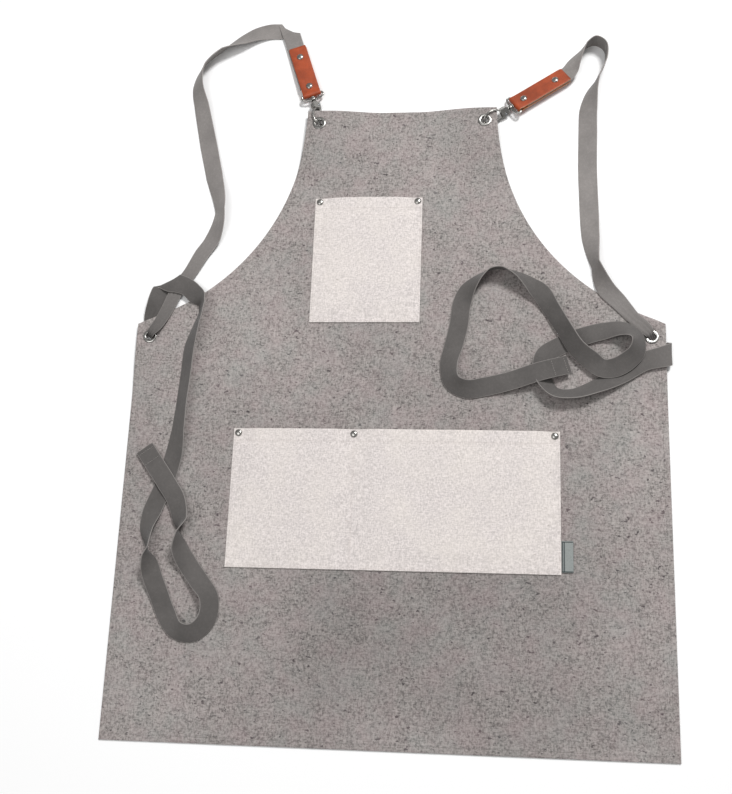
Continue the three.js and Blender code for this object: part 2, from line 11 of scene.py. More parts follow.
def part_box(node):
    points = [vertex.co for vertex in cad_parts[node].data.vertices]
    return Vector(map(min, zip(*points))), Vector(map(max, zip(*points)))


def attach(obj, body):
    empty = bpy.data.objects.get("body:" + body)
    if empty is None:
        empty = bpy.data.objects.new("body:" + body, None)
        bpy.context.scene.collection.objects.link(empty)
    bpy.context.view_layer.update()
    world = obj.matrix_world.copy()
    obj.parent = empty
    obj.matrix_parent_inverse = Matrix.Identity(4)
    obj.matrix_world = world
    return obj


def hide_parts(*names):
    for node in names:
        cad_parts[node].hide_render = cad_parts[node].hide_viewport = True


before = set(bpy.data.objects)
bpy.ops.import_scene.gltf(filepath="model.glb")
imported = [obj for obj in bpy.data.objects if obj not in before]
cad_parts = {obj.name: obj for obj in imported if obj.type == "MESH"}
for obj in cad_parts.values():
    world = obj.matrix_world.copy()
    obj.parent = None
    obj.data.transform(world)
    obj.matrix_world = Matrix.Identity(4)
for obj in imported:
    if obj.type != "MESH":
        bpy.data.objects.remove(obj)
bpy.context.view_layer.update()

bl_info = {
    "name": "Artist's Bib Apron",
    "version": (1, 0, 0),
    "blender": (4, 5, 0),
    "location": "View3D > Sidebar > Apron",
    "description": "Makes the cloth, webbing, leather and metal of a bib apron around its frame",
    "category": "Add Mesh",
}

MM = 0.001

# ---- places taken from the frame ----------------------------------------------------------------
PANEL_LOW, PANEL_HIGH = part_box("apron_panel")
CHEST_LOW, CHEST_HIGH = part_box("chest_pocket")
WAIST_LOW, WAIST_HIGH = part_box("waist_pocket")
CORNER_NAMES = ("top_left", "top_right", "waist_left", "waist_right")
CHEST_RIVETS = ("chest_left", "chest_right")
WAIST_RIVETS = ("waist_pocket_left", "waist_pocket_middle", "waist_pocket_right")


def middle(node):
    low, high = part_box(node)
    return (Vector(low) + Vector(high)) / 2


CORNERS = {name: middle(f"{name}_eyelet") for name in CORNER_NAMES}
RIVET_SPOTS = {name: middle(f"{name}_rivet") for name in CHEST_RIVETS + WAIST_RIVETS}
CORNER_LIFT = {name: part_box(f"{name}_eyelet")[0][2] + 1.2 * MM for name in CORNER_NAMES}

# ---- driving sizes that both the frame and the cloth share, in metres ---------------------------
BIB_HALF = 0.132
WAIST_LEVEL = 0.112
ARMHOLE_HANDLES = ((0.134, 0.290), (0.200, 0.165))
LIFT_FLAT, LIFT_REACH = 0.014, 0.095
POCKET_BASE = 2.3 * MM
SIDES = {
    "left": {"eyelet": "top_left", "heading": 18.4, "pitch": -2.73, "lean": 0.0},
    "right": {"eyelet": "top_right", "heading": -57.0, "pitch": -0.38, "lean": 12.0},
}
HOOK_AXIS_HEIGHT = 8.2 * MM
HOLE_IN_HOOK = Vector((-2.5, -36.6, 0)) * MM
HOOK_ROLL = 45.0
LOOP_BAR = 12.6 * MM
TAB_RIVETS = (13 * MM, 64.5 * MM)
TAB_DECK = (1.1 + 1.8 + 0.3) * MM

# x, y, z, lean, width in millimetres and degrees, and a heading where the webbing folds back.
STRAP_ROUTES = {
    "left": (
        (-134.4, 465.8, 7.85, 0, 25, 108.4), (-144.8, 497.1, 6.2, 0, 25, 108.4),
        (-156.6, 532.7, 4.3, 0, 25, 108.4), (-163.5, 553, 3.9, 0, 25.2, 108.4), (-166, 560, 3.5, 0, 28, 84),
        (-167.3, 563, 2.6, 0, 36, 61.4), (-170.4, 563, 1.7, 180, 28, 218), (-178, 563, 1.4, 180, 25.5, 192),
        (-196, 563, 1.6, 180, 25, 184), (-214, 558.5, 3.6, 192, 25, 204), (-235, 547, 7.2, 210, 25),
        (-264, 528, 12.2, 248, 25), (-288, 503, 12.1, 246, 25), (-295, 475, 9.7, 225, 25),
        (-287, 438, 6.3, 205, 25), (-274, 381, 2.8, 188, 25), (-262, 333, 3.7, 192, 25),
        (-248, 276, 10.1, 228, 25), (-256, 237, 4.4, 195, 24), (-271, 213, 2.6, 186, 22),
        (-284, 187, 3.9, 180, 19), (-300, 161, 4.3, 180, 19), (-313, 126, 7.6, 180, 17),
        (-322, 106, 10.9, 180, 15), (-329.4, 96.4, 10.6, 180, 11.5), (-331.6, 93.4, 5.6, 180, 9),
        (-333, 93.6, 2.2, 180, 7, 250), (-335.5, 102, 1.7, 0, 9, 95), (-337, 116, 1.4, 0, 13, 80),
        (-328, 140, 7.2, 30, 23), (-321, 162, 2.6, 8, 28, 80), (-314, 172, 4.0, 0, 33, 118),
        (-305, 169.5, 7.0, 180, 30, -34), (-287, 164, 7.3, 180, 25), (-272, 151, 8.4, 192, 25),
        (-262.5, 140, 12.6, 236, 24), (-262, 126, 14.9, 245, 25), (-267, 106, 14.9, 236, 25),
        (-273, 78, 14.7, 223, 25), (-276, 37, 12.6, 223, 25), (-279, -5, 11.6, 223, 25),
        (-281, -38, 10.3, 215, 25), (-285, -71, 5.7, 192, 25), (-295, -111, 3.8, 180, 25),
        (-307, -144, 4.3, 182, 25), (-311, -170, 10.2, 215, 25), (-306, -195, 15.4, 255, 25),
        (-304, -207, 14.4, 300, 25), (-300, -227, 6.8, 345, 25), (-289, -252, 3.8, 360, 25),
        (-277, -277, 3.8, 360, 25), (-261, -296, 8.6, 385, 25), (-240, -298, 9.6, 390, 25),
        (-224, -282, 10.1, 392, 25), (-223, -255, 8.9, 388, 25), (-238, -234, 6.4, 373, 25),
        (-253, -215, 4.9, 365, 25), (-264, -196, 10.4, 395, 25), (-267, -176, 15.4, 447, 25),
        (-268, -157, 11.2, 510, 25), (-276, -131, 7.4, 532, 25), (-292, -107, 6.8, 540, 25),
        (-311, -81, 6.1, 540, 25), (-325, -62, 5.1, 540, 25),
    ),
    "right": (
        (168.2, 438.6, 8.15, -12, 25, 33), (195.9, 456.6, 7.9, -12, 25, 33),
        (219.2, 471.8, 7.75, -12, 25, 33), (227.3, 477.1, 7.7, -12, 25, 33), (233.5, 485, 8.4, -22, 25),
        (240, 499, 10.4, -45, 25), (254, 519, 12.9, -80, 25), (268, 527, 12.9, -90, 25),
        (281, 518, 12.9, -92, 25), (282, 497, 12.9, -95, 25), (270, 469, 12.7, -100, 25),
        (262, 450, 11.6, -125, 25), (257, 423, 5.5, -160, 25), (256, 386, 2.2, -175, 25),
        (255, 334, 1.1, -180, 25), (256, 274, 2.0, -176, 25), (257, 231, 7.2, -150, 25),
        (262, 192, 12.1, -110, 24), (274, 161, 8.3, -155, 24), (292, 141, 5.2, -180, 22),
        (310, 118, 7.6, -180, 17), (320.5, 106.5, 11.2, -180, 18), (329.2, 96.8, 11.0, -180, 14),
        (331.6, 93.6, 5.6, -180, 9.4), (334.2, 90.4, 2.0, -180, 8), (343, 80, 1.7, -180, 15, -40),
        (351, 74, 2.2, -180, 26, -3), (356, 70, 6.6, -180, 30, 0), (345, 65, 9.8, -360, 28, 200),
        (322, 59, 8.8, -360, 25), (292, 42, 6.4, -354, 25), (259, 25, 9.2, -326, 25),
        (230, 15, 10.8, -312, 25), (208, 17, 10.8, -314, 25), (196, 31, 9.6, -327, 25),
        (191, 50, 7.6, -340, 25), (196, 68, 4.8, -352, 25), (215, 81, 3.3, -360, 25),
        (239, 92, 4.1, -360, 25), (269, 100, 7.0, -368, 25), (297, 101, 15.3, -390, 25),
        (312, 89, 22.3, -402, 25), (312, 71, 19.6, -394, 25), (300, 58, 15.2, -382, 25),
        (284, 50, 10.7, -370, 25), (268, 50, 8.2, -360, 25), (253, 60, 13.0, -386, 25),
        (236, 75, 15.2, -398, 25), (220, 102, 14.0, -402, 25), (204, 131, 11.0, -396, 25),
        (192, 152, 9.4, -368, 25), (177, 167, 9.8, -327, 25), (161, 178, 13.3, -302, 25),
        (141, 186, 14.8, -284, 25), (124, 184, 14.8, -284, 25), (109, 174, 13.3, -302, 25),
        (96, 160, 9.2, -330, 25), (88, 141, 4.8, -354, 25), (84, 110, 3.5, -360, 25),
        (78, 82, 4.3, -356, 25), (72, 54, 7.6, -340, 25), (77, 30, 10.0, -326, 25), (95, 21, 8.9, -332, 25),
        (119, 25, 5.3, -352, 25), (151, 32, 8.6, -360, 25), (189, 43, 15.9, -360, 25),
        (226, 54, 10.2, -360, 25),
    ),
}


# ---- sizes and colours a user may change --------------------------------------------------------
def colour(name, description, default):
    return FloatVectorProperty(
        name=name, description=description, subtype="COLOR", size=4, min=0, max=1, default=default)


def length(name, description, millimetres):
    return FloatProperty(
        name=name, description=description, subtype="DISTANCE", unit="LENGTH", min=0, default=millimetres * MM)


def strength(name, description, default):
    return FloatProperty(name=name, description=description, default=default, min=0)


def linear(red, green, blue):
    """A colour given as 0 to 255 display values, as linear light."""
    def channel(value):
        value /= 255
        return value / 12.92 if value <= 0.04045 else ((value + 0.055) / 1.055) ** 2.4
    return (channel(red), channel(green), channel(blue), 1.0)


class ApronClothSettings(bpy.types.PropertyGroup):
    """The panel and its pockets."""
    canvas: colour("Canvas", "Main colour of the marled canvas", linear(149, 143, 140))
    fleck: colour("Flecks", "Dark fibres in the canvas", linear(70, 64, 66))
    pocket: colour("Pocket cotton", "Main colour of the pockets", linear(230, 222, 219))
    thread: colour("Canvas thread", "Stitches of the hem", linear(138, 133, 130))
    pocket_thread: colour("Pocket thread", "Stitches of the pockets", linear(226, 218, 214))
    tag: colour("Tag", "Plain woven tag", linear(150, 155, 153))
    thickness: length("Canvas thickness", "Thickness of the panel's cloth", 1.5)
    hem: length("Hem width", "Width of the turned hem", 10)
    stitch: length("Stitch pitch", "Distance from one stitch to the next", 3.4)


class ApronStrapSettings(bpy.types.PropertyGroup):
    """The webbing and the leather."""
    webbing: colour("Webbing", "Colour of the webbing", linear(151, 146, 143))
    webbing_thickness: length("Webbing thickness", "Thickness of the webbing", 1.3)
    rib: length("Rib pitch", "Distance between the webbing's ribs", 1.9)
    leather: colour("Leather", "Grain side of the tabs", linear(166, 70, 30))
    leather_edge: colour("Leather edge", "Cut edge of the tabs", linear(222, 168, 116))


class ApronMetalSettings(bpy.types.PropertyGroup):
    """The nickel fittings."""
    nickel: colour("Nickel", "Plate of hooks, eyelets and rivets", linear(174, 172, 168))
    steel: colour("Steel", "Pins and springs", linear(150, 152, 155))


class ApronStageSettings(bpy.types.PropertyGroup):
    """The floor and the light."""
    floor: colour("Floor", "Colour of the floor", linear(252, 252, 252))
    key_power: strength("Key light", "Power of the large soft light", 105.0)
    fill_power: strength("Fill light", "Power of the second light", 17.0)
    sky: strength("Sky", "Strength of the even light", 0.30)


# ---- materials ----------------------------------------------------------------------------------
class Finish:
    """A material's node tree, with short calls for the nodes it uses."""

    def __init__(self, name, roughness, metallic=0.0, specular=0.5):
        self.material = bpy.data.materials.new(name)
        self.material.use_nodes = True
        self.tree = self.material.node_tree
        self.shader = self.tree.nodes["Principled BSDF"]
        self.shader.inputs["Roughness"].default_value = roughness
        self.shader.inputs["Metallic"].default_value = metallic
        self.shader.inputs["Specular IOR Level"].default_value = specular

    def node(self, kind, **settings):
        made = self.tree.nodes.new(kind)
        for key, value in settings.items():
            if key in made.inputs:
                self.feed(made.inputs[key], value)
            else:
                setattr(made, key, value)
        return made

    def feed(self, socket, value):
        if isinstance(value, bpy.types.NodeSocket):
            self.tree.links.new(value, socket)
        else:
            socket.default_value = value

    def place(self, scale=(1, 1, 1), turn=(0, 0, 0)):
        """The point on the piece, in its own metres, scaled."""
        source = self.node("ShaderNodeTexCoord").outputs["Object"]
        return self.node("ShaderNodeMapping", Vector=source, Scale=scale, Rotation=turn).outputs[0]

    def noise(self, place, scale, detail=3.0, roughness=0.5):
        return self.node("ShaderNodeTexNoise", Vector=place, Scale=scale, Detail=detail,
                         Roughness=roughness).outputs["Fac"]

    def fibres(self, stretch, scale, detail, roughness):
        """Short fibres lying both ways."""
        across = self.noise(self.place((1, stretch, 1)), scale, detail, roughness)
        along = self.noise(self.place((stretch, 1, 1)), scale, detail, roughness)
        return self.math("ADD", self.math("MULTIPLY", across, 0.5), self.math("MULTIPLY", along, 0.5))

    def ramp(self, value, *stops):
        made = self.node("ShaderNodeValToRGB")
        self.feed(made.inputs["Fac"], value)
        elements = made.color_ramp.elements
        for i, (position, shade) in enumerate(stops):
            element = elements[i] if i < 2 else elements.new(position)
            element.position = position
            element.color = shade if hasattr(shade, "__len__") else (shade, shade, shade, 1)
        return made.outputs["Color"]

    def mix(self, factor, first, second, blend="MIX"):
        made = self.node("ShaderNodeMix", data_type="RGBA", blend_type=blend)
        self.feed(made.inputs["Factor"], factor)
        self.feed(made.inputs[6], first)
        self.feed(made.inputs[7], second)
        return made.outputs[2]

    def math(self, operation, first, second=0.0):
        made = self.node("ShaderNodeMath", operation=operation)
        self.feed(made.inputs[0], first)
        self.feed(made.inputs[1], second)
        return made.outputs[0]

    def span(self, value, low, high):
        return self.node("ShaderNodeMapRange", Value=value, **{"To Min": low, "To Max": high}).outputs[0]

    def wave(self, place, scale, direction, distortion=0.0):
        return self.node("ShaderNodeTexWave", wave_type="BANDS", bands_direction=direction, Vector=place,
                         Scale=scale, Distortion=distortion, Detail=1.0).outputs["Fac"]

    def bump(self, height, strength, distance, base=None):
        made = self.node("ShaderNodeBump", Strength=strength, Distance=distance, Height=height)
        if base is not None:
            self.feed(made.inputs["Normal"], base)
        return made.outputs[0]

    def colour(self, value):
        self.feed(self.shader.inputs["Base Color"], value)

    def roughness(self, value):
        self.feed(self.shader.inputs["Roughness"], value)

    def normal(self, value):
        self.feed(self.shader.inputs["Normal"], value)


def shade(base, amount):
    return tuple(min(1.0, c * amount) for c in base[:3]) + (1.0,)


def weave_height(finish, pitch):
    """Plain weave: threads over and under at the given pitch, a little uneven."""
    place = finish.place((1 / pitch, 1 / pitch, 1 / pitch))
    wander = finish.noise(finish.place(), 60, 2)
    warp = finish.wave(place, 0.318, "X", 0.6)
    weft = finish.wave(place, 0.318, "Y", 0.6)
    crossing = finish.math("MULTIPLY", warp, weft)
    return finish.math("ADD", finish.math("MULTIPLY", crossing, 0.8), finish.math("MULTIPLY", wander, 0.5))


def canvas_finish(settings):
    """Marled canvas: short light and dark fibres both ways, dark flecks, faint warm and cool patches, slow
    random darker areas and painted shade in a soft pool on the lower skirt.
    """
    made = Finish("marled_canvas", 0.93, specular=0.18)
    base = tuple(settings.canvas)
    fibres = made.fibres(3.2, 210, 4, 0.65)
    marl = made.ramp(fibres, (0.37, shade(base, 0.40)), (0.63, shade(base, 1.5)), (0.5, base))
    grit = made.noise(made.place(), 360, 3, 0.6)
    marl = made.mix(made.ramp(grit, (0.44, 0.0), (0.66, 0.34)), marl, shade(base, 1.6))
    marl = made.mix(made.ramp(grit, (0.34, 0.52), (0.48, 0.0)), marl, shade(base, 0.32))
    flecks = made.noise(made.place((1, 1.5, 1), (0, 0, 0.4)), 150, 2, 0.5)
    marl = made.mix(made.ramp(flecks, (0.655, 0.0), (0.71, 0.9)), marl, tuple(settings.fleck))
    slubs = made.noise(made.place((1, 0.25, 1), (0, 0, 0.1)), 95, 2, 0.5)
    marl = made.mix(made.ramp(slubs, (0.66, 0.0), (0.76, 0.4)), marl, shade(base, 1.35))
    tint = made.noise(made.place(), 26, 3, 0.6)
    marl = made.mix(made.ramp(tint, (0.40, 0.0), (0.66, 0.22)), marl, (0.46, 0.34, 0.35, 1))
    cool = made.noise(made.place(turn=(0, 0, 1.1)), 19, 3, 0.6)
    marl = made.mix(made.ramp(cool, (0.46, 0.0), (0.70, 0.20)), marl, (0.36, 0.40, 0.38, 1))
    # slow random darker and lighter areas over the whole canvas
    slow_tone = made.noise(made.place(), 4.2, 2, 0.5)
    marl = made.mix(1.0, marl, made.ramp(slow_tone, (0.30, 0.86), (0.66, 1.04)), "MULTIPLY")
    # painted shade: the canvas is darkened in a soft pool on the lower skirt and lightened further away from it
    shade_pool_distance = made.node("ShaderNodeVectorMath", operation="DISTANCE")
    made.feed(shade_pool_distance.inputs[0], made.place((1, 1.25, 1)))
    shade_pool_distance.inputs[1].default_value = (0.06, -0.27, 0)
    painted_shade_field = made.math("ADD", shade_pool_distance.outputs["Value"], made.math("MULTIPLY", slow_tone, 0.16))
    made.colour(made.mix(1.0, marl, made.ramp(painted_shade_field, (0.10, 0.84), (0.42, 1.05)), "MULTIPLY"))
    made.roughness(made.span(fibres, 0.86, 0.99))
    weave = made.bump(weave_height(made, 1.3 * MM), 0.5, 0.5 * MM)
    made.normal(made.bump(grit, 0.35, 0.6 * MM, weave))
    made.shader.inputs["Sheen Weight"].default_value = 0.12
    made.shader.inputs["Sheen Roughness"].default_value = 0.6
    return made.material


def pocket_finish(settings):
    """Undyed cotton canvas: fine weave, light and dark fibres, a few darker flecks, faint warm areas."""
    made = Finish("pocket_cotton", 0.9, specular=0.2)
    base = tuple(settings.pocket)
    fibres = made.fibres(4, 180, 3, 0.6)
    cotton = made.ramp(fibres, (0.38, shade(base, 0.72)), (0.60, shade(base, 1.06)))
    grit = made.noise(made.place(), 400, 2, 0.6)
    cotton = made.mix(made.ramp(grit, (0.38, 0.5), (0.52, 0.0)), cotton, shade(base, 0.60))
    warm = made.noise(made.place(), 14, 3, 0.6)
    cotton = made.mix(made.ramp(warm, (0.40, 0.0), (0.66, 0.22)), cotton, (0.86, 0.80, 0.72, 1))
    flecks = made.noise(made.place((1, 1.8, 1), (0, 0, 0.7)), 120, 2, 0.5)
    cotton = made.mix(made.ramp(flecks, (0.72, 0.0), (0.78, 0.45)), cotton, linear(150, 140, 132))
    made.colour(cotton)
    made.normal(made.bump(weave_height(made, 0.9 * MM), 0.45, 0.35 * MM))
    made.shader.inputs["Sheen Weight"].default_value = 0.08
    return made.material


def webbing_finish(settings):
    """Flat woven cotton webbing: a chevron of fine ribs, with firm selvedges; painted shade in the rib valleys,
    in patches and towards the loose ends, and a painted highlight along the edges.
    """
    made = Finish("grey_webbing", 0.82, specular=0.25)
    base = tuple(settings.webbing)
    split = made.node("ShaderNodeSeparateXYZ", Vector=made.node("ShaderNodeTexCoord").outputs["UV"])
    across, along = split.outputs[0], split.outputs[1]
    chevron = made.math("PINGPONG", made.math("MULTIPLY", across, 4.0), 0.5)
    phase = made.math("ADD", made.math("DIVIDE", along, settings.rib), made.math("MULTIPLY", chevron, 2.6))
    rib = made.math("SINE", made.math("MULTIPLY", phase, 2 * math.pi))
    threads = made.math("SINE", made.math("MULTIPLY", across, 2 * math.pi * 22))
    height = made.math("ADD", made.math("MULTIPLY", rib, 0.5), made.math("MULTIPLY", threads, 0.35))
    # painted shade: the webbing's colour is darker in the valleys of its ribs and threads
    painted_rib_shade = made.ramp(height, (0.0, 0.80), (0.75, 1.0))
    cloth = made.mix(1.0, base, painted_rib_shade, "MULTIPLY")
    fibres = made.noise(made.place(), 340, 3, 0.6)
    cloth = made.mix(made.ramp(fibres, (0.36, 0.22), (0.60, 0.0)), cloth, shade(base, 0.62))
    cloth = made.mix(made.ramp(fibres, (0.52, 0.0), (0.72, 0.12)), cloth, shade(base, 1.4))
    # painted shade: darker patches along the webbing
    painted_shade_field = made.noise(made.place(), 22, 3, 0.6)
    cloth = made.mix(1.0, cloth, made.ramp(painted_shade_field, (0.32, 0.82), (0.66, 1.06)), "MULTIPLY")
    # painted shade: each strap darkens from 0.62 m along it, to under half as bright past 0.80 m, towards its
    # loose end
    tie_end_shade = made.ramp(made.math("ADD", along, made.math("MULTIPLY", painted_shade_field, 0.2)), (0.62, 1.0), (0.80, 0.46))
    cloth = made.mix(1.0, cloth, tie_end_shade, "MULTIPLY")
    # painted highlight: a lighter line along both edges of the webbing
    selvedge = made.math("ABSOLUTE", made.math("SUBTRACT", across, 0.5))
    made.colour(made.mix(made.ramp(selvedge, (0.462, 0.0), (0.485, 0.5)), cloth, shade(base, 1.3)))
    made.normal(made.bump(height, 0.5, 0.25 * MM, made.bump(fibres, 0.3, 0.4 * MM)))
    made.shader.inputs["Sheen Weight"].default_value = 0.15
    made.shader.inputs["Sheen Roughness"].default_value = 0.5
    return made.material


def leather_finish(settings):
    """Smooth saddle leather with a fine pebble, soft scuffs and a darker rubbed-in tone."""
    made = Finish("saddle_leather", 0.42, specular=0.5)
    base = tuple(settings.leather)
    tone = made.noise(made.place(), 55, 4, 0.6)
    hide = made.ramp(tone, (0.34, shade(base, 0.72)), (0.66, shade(base, 1.16)))
    creases = made.node("ShaderNodeTexVoronoi", Vector=made.place(), Scale=950.0,
                        feature="DISTANCE_TO_EDGE").outputs["Distance"]
    pores = made.ramp(creases, (0.0, 0.0), (0.22, 1.0))
    hide = made.mix(1.0, hide, made.ramp(creases, (0.0, 0.78), (0.16, 1.0)), "MULTIPLY")
    scuffs = made.noise(made.place((1, 0.2, 1), (0, 0, 0.5)), 240, 3, 0.6)
    hide = made.mix(made.ramp(scuffs, (0.62, 0.0), (0.74, 0.28)), hide, shade(base, 1.7))
    made.colour(hide)
    made.roughness(made.span(tone, 0.32, 0.52))
    made.normal(made.bump(pores, 0.28, 0.16 * MM, made.bump(tone, 0.2, 0.8 * MM)))
    made.shader.inputs["Coat Weight"].default_value = 0.18
    made.shader.inputs["Coat Roughness"].default_value = 0.3
    return made.material


def leather_edge_finish(settings):
    """The cut edge: pale fibres, darker where it has been burnished."""
    made = Finish("leather_cut_edge", 0.7, specular=0.3)
    base = tuple(settings.leather_edge)
    fibres = made.noise(made.place((1, 1, 5)), 420, 3, 0.6)
    made.colour(made.ramp(fibres, (0.34, shade(base, 0.55)), (0.62, base)))
    made.normal(made.bump(fibres, 0.4, 0.3 * MM))
    return made.material


def metal_finish(name, base, roughness):
    """Plated metal: bright, with faint handling marks."""
    made = Finish(name, roughness, metallic=1.0)
    smear = made.noise(made.place(), 260, 3, 0.6)
    scratches = made.noise(made.place((1, 0.08, 1), (0, 0.3, 0.6)), 1500, 2, 0.5)
    made.colour(made.ramp(smear, (0.30, shade(base, 0.80)), (0.62, base)))
    made.roughness(made.span(smear, roughness * 0.7, roughness * 1.5))
    made.normal(made.bump(scratches, 0.12, 0.05 * MM))
    return made.material


def thread_finish(name, base):
    made = Finish(name, 0.7, specular=0.3)
    twist = made.wave(made.place(turn=(0, 0, 0.8)), 900.0, "X", 0.5)
    made.colour(made.ramp(twist, (0.0, shade(base, 0.72)), (0.8, base)))
    made.normal(made.bump(twist, 0.4, 0.1 * MM))
    return made.material


def tag_finish(settings):
    """Woven tape, plain, with fine ribs and a few darker fibres."""
    made = Finish("plain_woven_tag", 0.75, specular=0.3)
    base = tuple(settings.tag)
    ribs = made.wave(made.place(), 420.0, "Y", 0.2)
    fibres = made.noise(made.place(), 700, 2, 0.6)
    tape = made.mix(1.0, base, made.ramp(ribs, (0.0, 0.84), (0.7, 1.0)), "MULTIPLY")
    made.colour(made.mix(made.ramp(fibres, (0.36, 0.35), (0.55, 0.0)), tape, shade(base, 0.6)))
    made.normal(made.bump(ribs, 0.4, 0.12 * MM))
    return made.material


FINISHES = {}


def finish(name):
    """One shared material for each finish, made the first time it is asked for."""
    if name not in FINISHES:
        scene = bpy.context.scene
        cloth, strap, metal = scene.apron_cloth, scene.apron_straps, scene.apron_metal
        makers = {
            "canvas": lambda: canvas_finish(cloth),
            "pocket": lambda: pocket_finish(cloth),
            "webbing": lambda: webbing_finish(strap),
            "leather": lambda: leather_finish(strap),
            "leather_edge": lambda: leather_edge_finish(strap),
            "nickel": lambda: metal_finish("bright_nickel", tuple(metal.nickel), 0.24),
            "steel": lambda: metal_finish("plain_steel", tuple(metal.steel), 0.34),
            "thread": lambda: thread_finish("canvas_thread", tuple(cloth.thread)),
            "pocket_thread": lambda: thread_finish("pocket_thread", tuple(cloth.pocket_thread)),
            "strap_thread": lambda: thread_finish("strap_thread", shade(tuple(strap.webbing), 1.5)),
            "tag": lambda: tag_finish(cloth),
            "tag_line": lambda: thread_finish("tag_line_thread", linear(70, 78, 80)),
        }
        FINISHES[name] = makers[name]()
    return FINISHES[name]


# ---- mesh helpers -------------------------------------------------------------------------------
def smooth(value):
    t = min(1.0, max(0.0, value))
    return t * t * (3 - 2 * t)


def piece(name, points, faces, finishes, body, slot_name, replaced=(), place=None, uvs=None, index=None,
          flat=False):
    """A mesh object that rides on a body and replaces nodes; its slot name is not used."""
    mesh = bpy.data.meshes.new(name)
    matrix = place or Matrix()
    mesh.from_pydata([matrix @ Vector(p) for p in points], [], faces)
    made = bpy.data.objects.new(name, mesh)
    bpy.context.scene.collection.objects.link(made)
    for each in finishes:
        mesh.materials.append(finish(each))
    if index:
        for polygon, slot_index in zip(mesh.polygons, index):
            polygon.material_index = slot_index
    if uvs:
        layer = mesh.uv_layers.new(name="along")
        for loop in mesh.loops:
            layer.data[loop.index].uv = uvs[loop.vertex_index]
    shape = bmesh.new()
    shape.from_mesh(mesh)
    bmesh.ops.recalc_face_normals(shape, faces=shape.faces)
    shape.to_mesh(mesh)
    shape.free()
    for polygon in mesh.polygons:
        polygon.use_smooth = not flat
    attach(made, body)
    if replaced:
        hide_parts(*replaced)
    return made


def round_edges(made, width, angle=40, steps=2):
    """Bevels the sharp edges of a finished piece and keeps its flats flat."""
    bevel = made.modifiers.new("bevel", "BEVEL")
    bevel.width = width
    bevel.segments = steps
    bevel.limit_method = "ANGLE"
    bevel.angle_limit = math.radians(angle)
    normals = made.modifiers.new("normals", "WEIGHTED_NORMAL")
    normals.keep_sharp = True


def spin(profile, sides):
    """A turned solid about Z, from (radius, height) points in mm; a radius of 0 closes it on the axis."""
    profile = [(radius * MM, height * MM) for radius, height in profile]
    points, rings, faces = [], [], []
    for radius, height in profile:
        if radius < 1e-9:
            rings.append([len(points)] * sides)
            points.append((0, 0, height))
        else:
            start = len(points)
            rings.append([start + i for i in range(sides)])
            for i in range(sides):
                angle = 2 * math.pi * i / sides
                points.append((radius * math.cos(angle), radius * math.sin(angle), height))
    closed = profile[0] == profile[-1] and profile[0][0] > 0
    if closed:
        points = points[:-sides]
        rings[-1] = rings[0]
    for low, high in zip(rings, rings[1:]):
        for i in range(sides):
            j = (i + 1) % sides
            corners = []
            for corner in (low[i], low[j], high[j], high[i]):
                if corner not in corners:
                    corners.append(corner)
            if len(corners) > 2:
                faces.append(corners)
    return points, faces


def tube(run, radius, sides):
    """A round bar along a run of points, without twist. radius is a number or one for each point."""
    run = [Vector(p) for p in run]
    radii = radius if hasattr(radius, "__len__") else [radius] * len(run)
    points, faces = [], []
    normal = None
    for i, place in enumerate(run):
        heading = (run[min(i + 1, len(run) - 1)] - run[max(i - 1, 0)]).normalized()
        if normal is None:
            helper = Vector((0, 0, 1)) if abs(heading.z) < 0.9 else Vector((1, 0, 0))
            normal = heading.cross(helper).normalized()
        normal = (normal - heading * normal.dot(heading)).normalized()
        binormal = heading.cross(normal)
        for k in range(sides):
            angle = 2 * math.pi * k / sides
            points.append(place + (normal * math.cos(angle) + binormal * math.sin(angle)) * radii[i])
    for i in range(len(run) - 1):
        for k in range(sides):
            j = (k + 1) % sides
            faces.append((i * sides + k, i * sides + j, (i + 1) * sides + j, (i + 1) * sides + k))
    faces.append(tuple(range(sides)))
    faces.append(tuple((len(run) - 1) * sides + k for k in range(sides)))
    return points, faces


def soft_run(points, steps):
    """Points on a centripetal Catmull-Rom curve through the given ones, steps to each span."""
    points = [Vector(p) for p in points]
    ends = [points[0] * 2 - points[1], *points, points[-1] * 2 - points[-2]]
    run = []
    for i in range(1, len(ends) - 2):
        run += [catmull(ends[i - 1:i + 3], k / steps) for k in range(steps)]
    return run + [points[-1]]


def catmull(four, t):
    """Where a centripetal Catmull-Rom span stands at t, from the four points about it."""
    before, start, end, after = four
    gaps = [max((b - a).length_squared, 1e-12) ** 0.25 for a, b in zip(four, four[1:])]
    first, own, last = gaps
    leave = ((start - before) / first - (end - before) / (first + own) + (end - start) / own) * own
    reach = ((end - start) / own - (after - start) / (own + last) + (after - end) / last) * own
    square, cube = t * t, t * t * t
    return (start * (2 * cube - 3 * square + 1) + leave * (cube - 2 * square + t)
            + end * (3 * square - 2 * cube) + reach * (cube - square))


def plate(outline, low, high):
    """A flat plate between two heights with the given outline, in mm."""
    count = len(outline)
    points = [(x * MM, y * MM, z * MM) for z in (low, high) for x, y in outline]
    faces = [tuple(range(count)), tuple(range(count, 2 * count))]
    faces += [(i, (i + 1) % count, count + (i + 1) % count, count + i) for i in range(count)]
    return points, faces


def cloth_faces(width, rows):
    """Faces of a cloth with two sides, each width by rows points, closed round its rim."""
    size = width * rows
    faces = []
    for j in range(rows - 1):
        for i in range(width - 1):
            quad = (j * width + i, j * width + i + 1, (j + 1) * width + i + 1, (j + 1) * width + i)
            faces += [quad, tuple(k + size for k in reversed(quad))]
    rim = [j * width for j in range(rows)] + [(rows - 1) * width + i for i in range(1, width)]
    rim += [j * width + width - 1 for j in range(rows - 2, -1, -1)] + list(range(width - 2, 0, -1))
    return faces + [(a, b, b + size, a + size) for a, b in zip(rim, rim[1:] + rim[:1])]


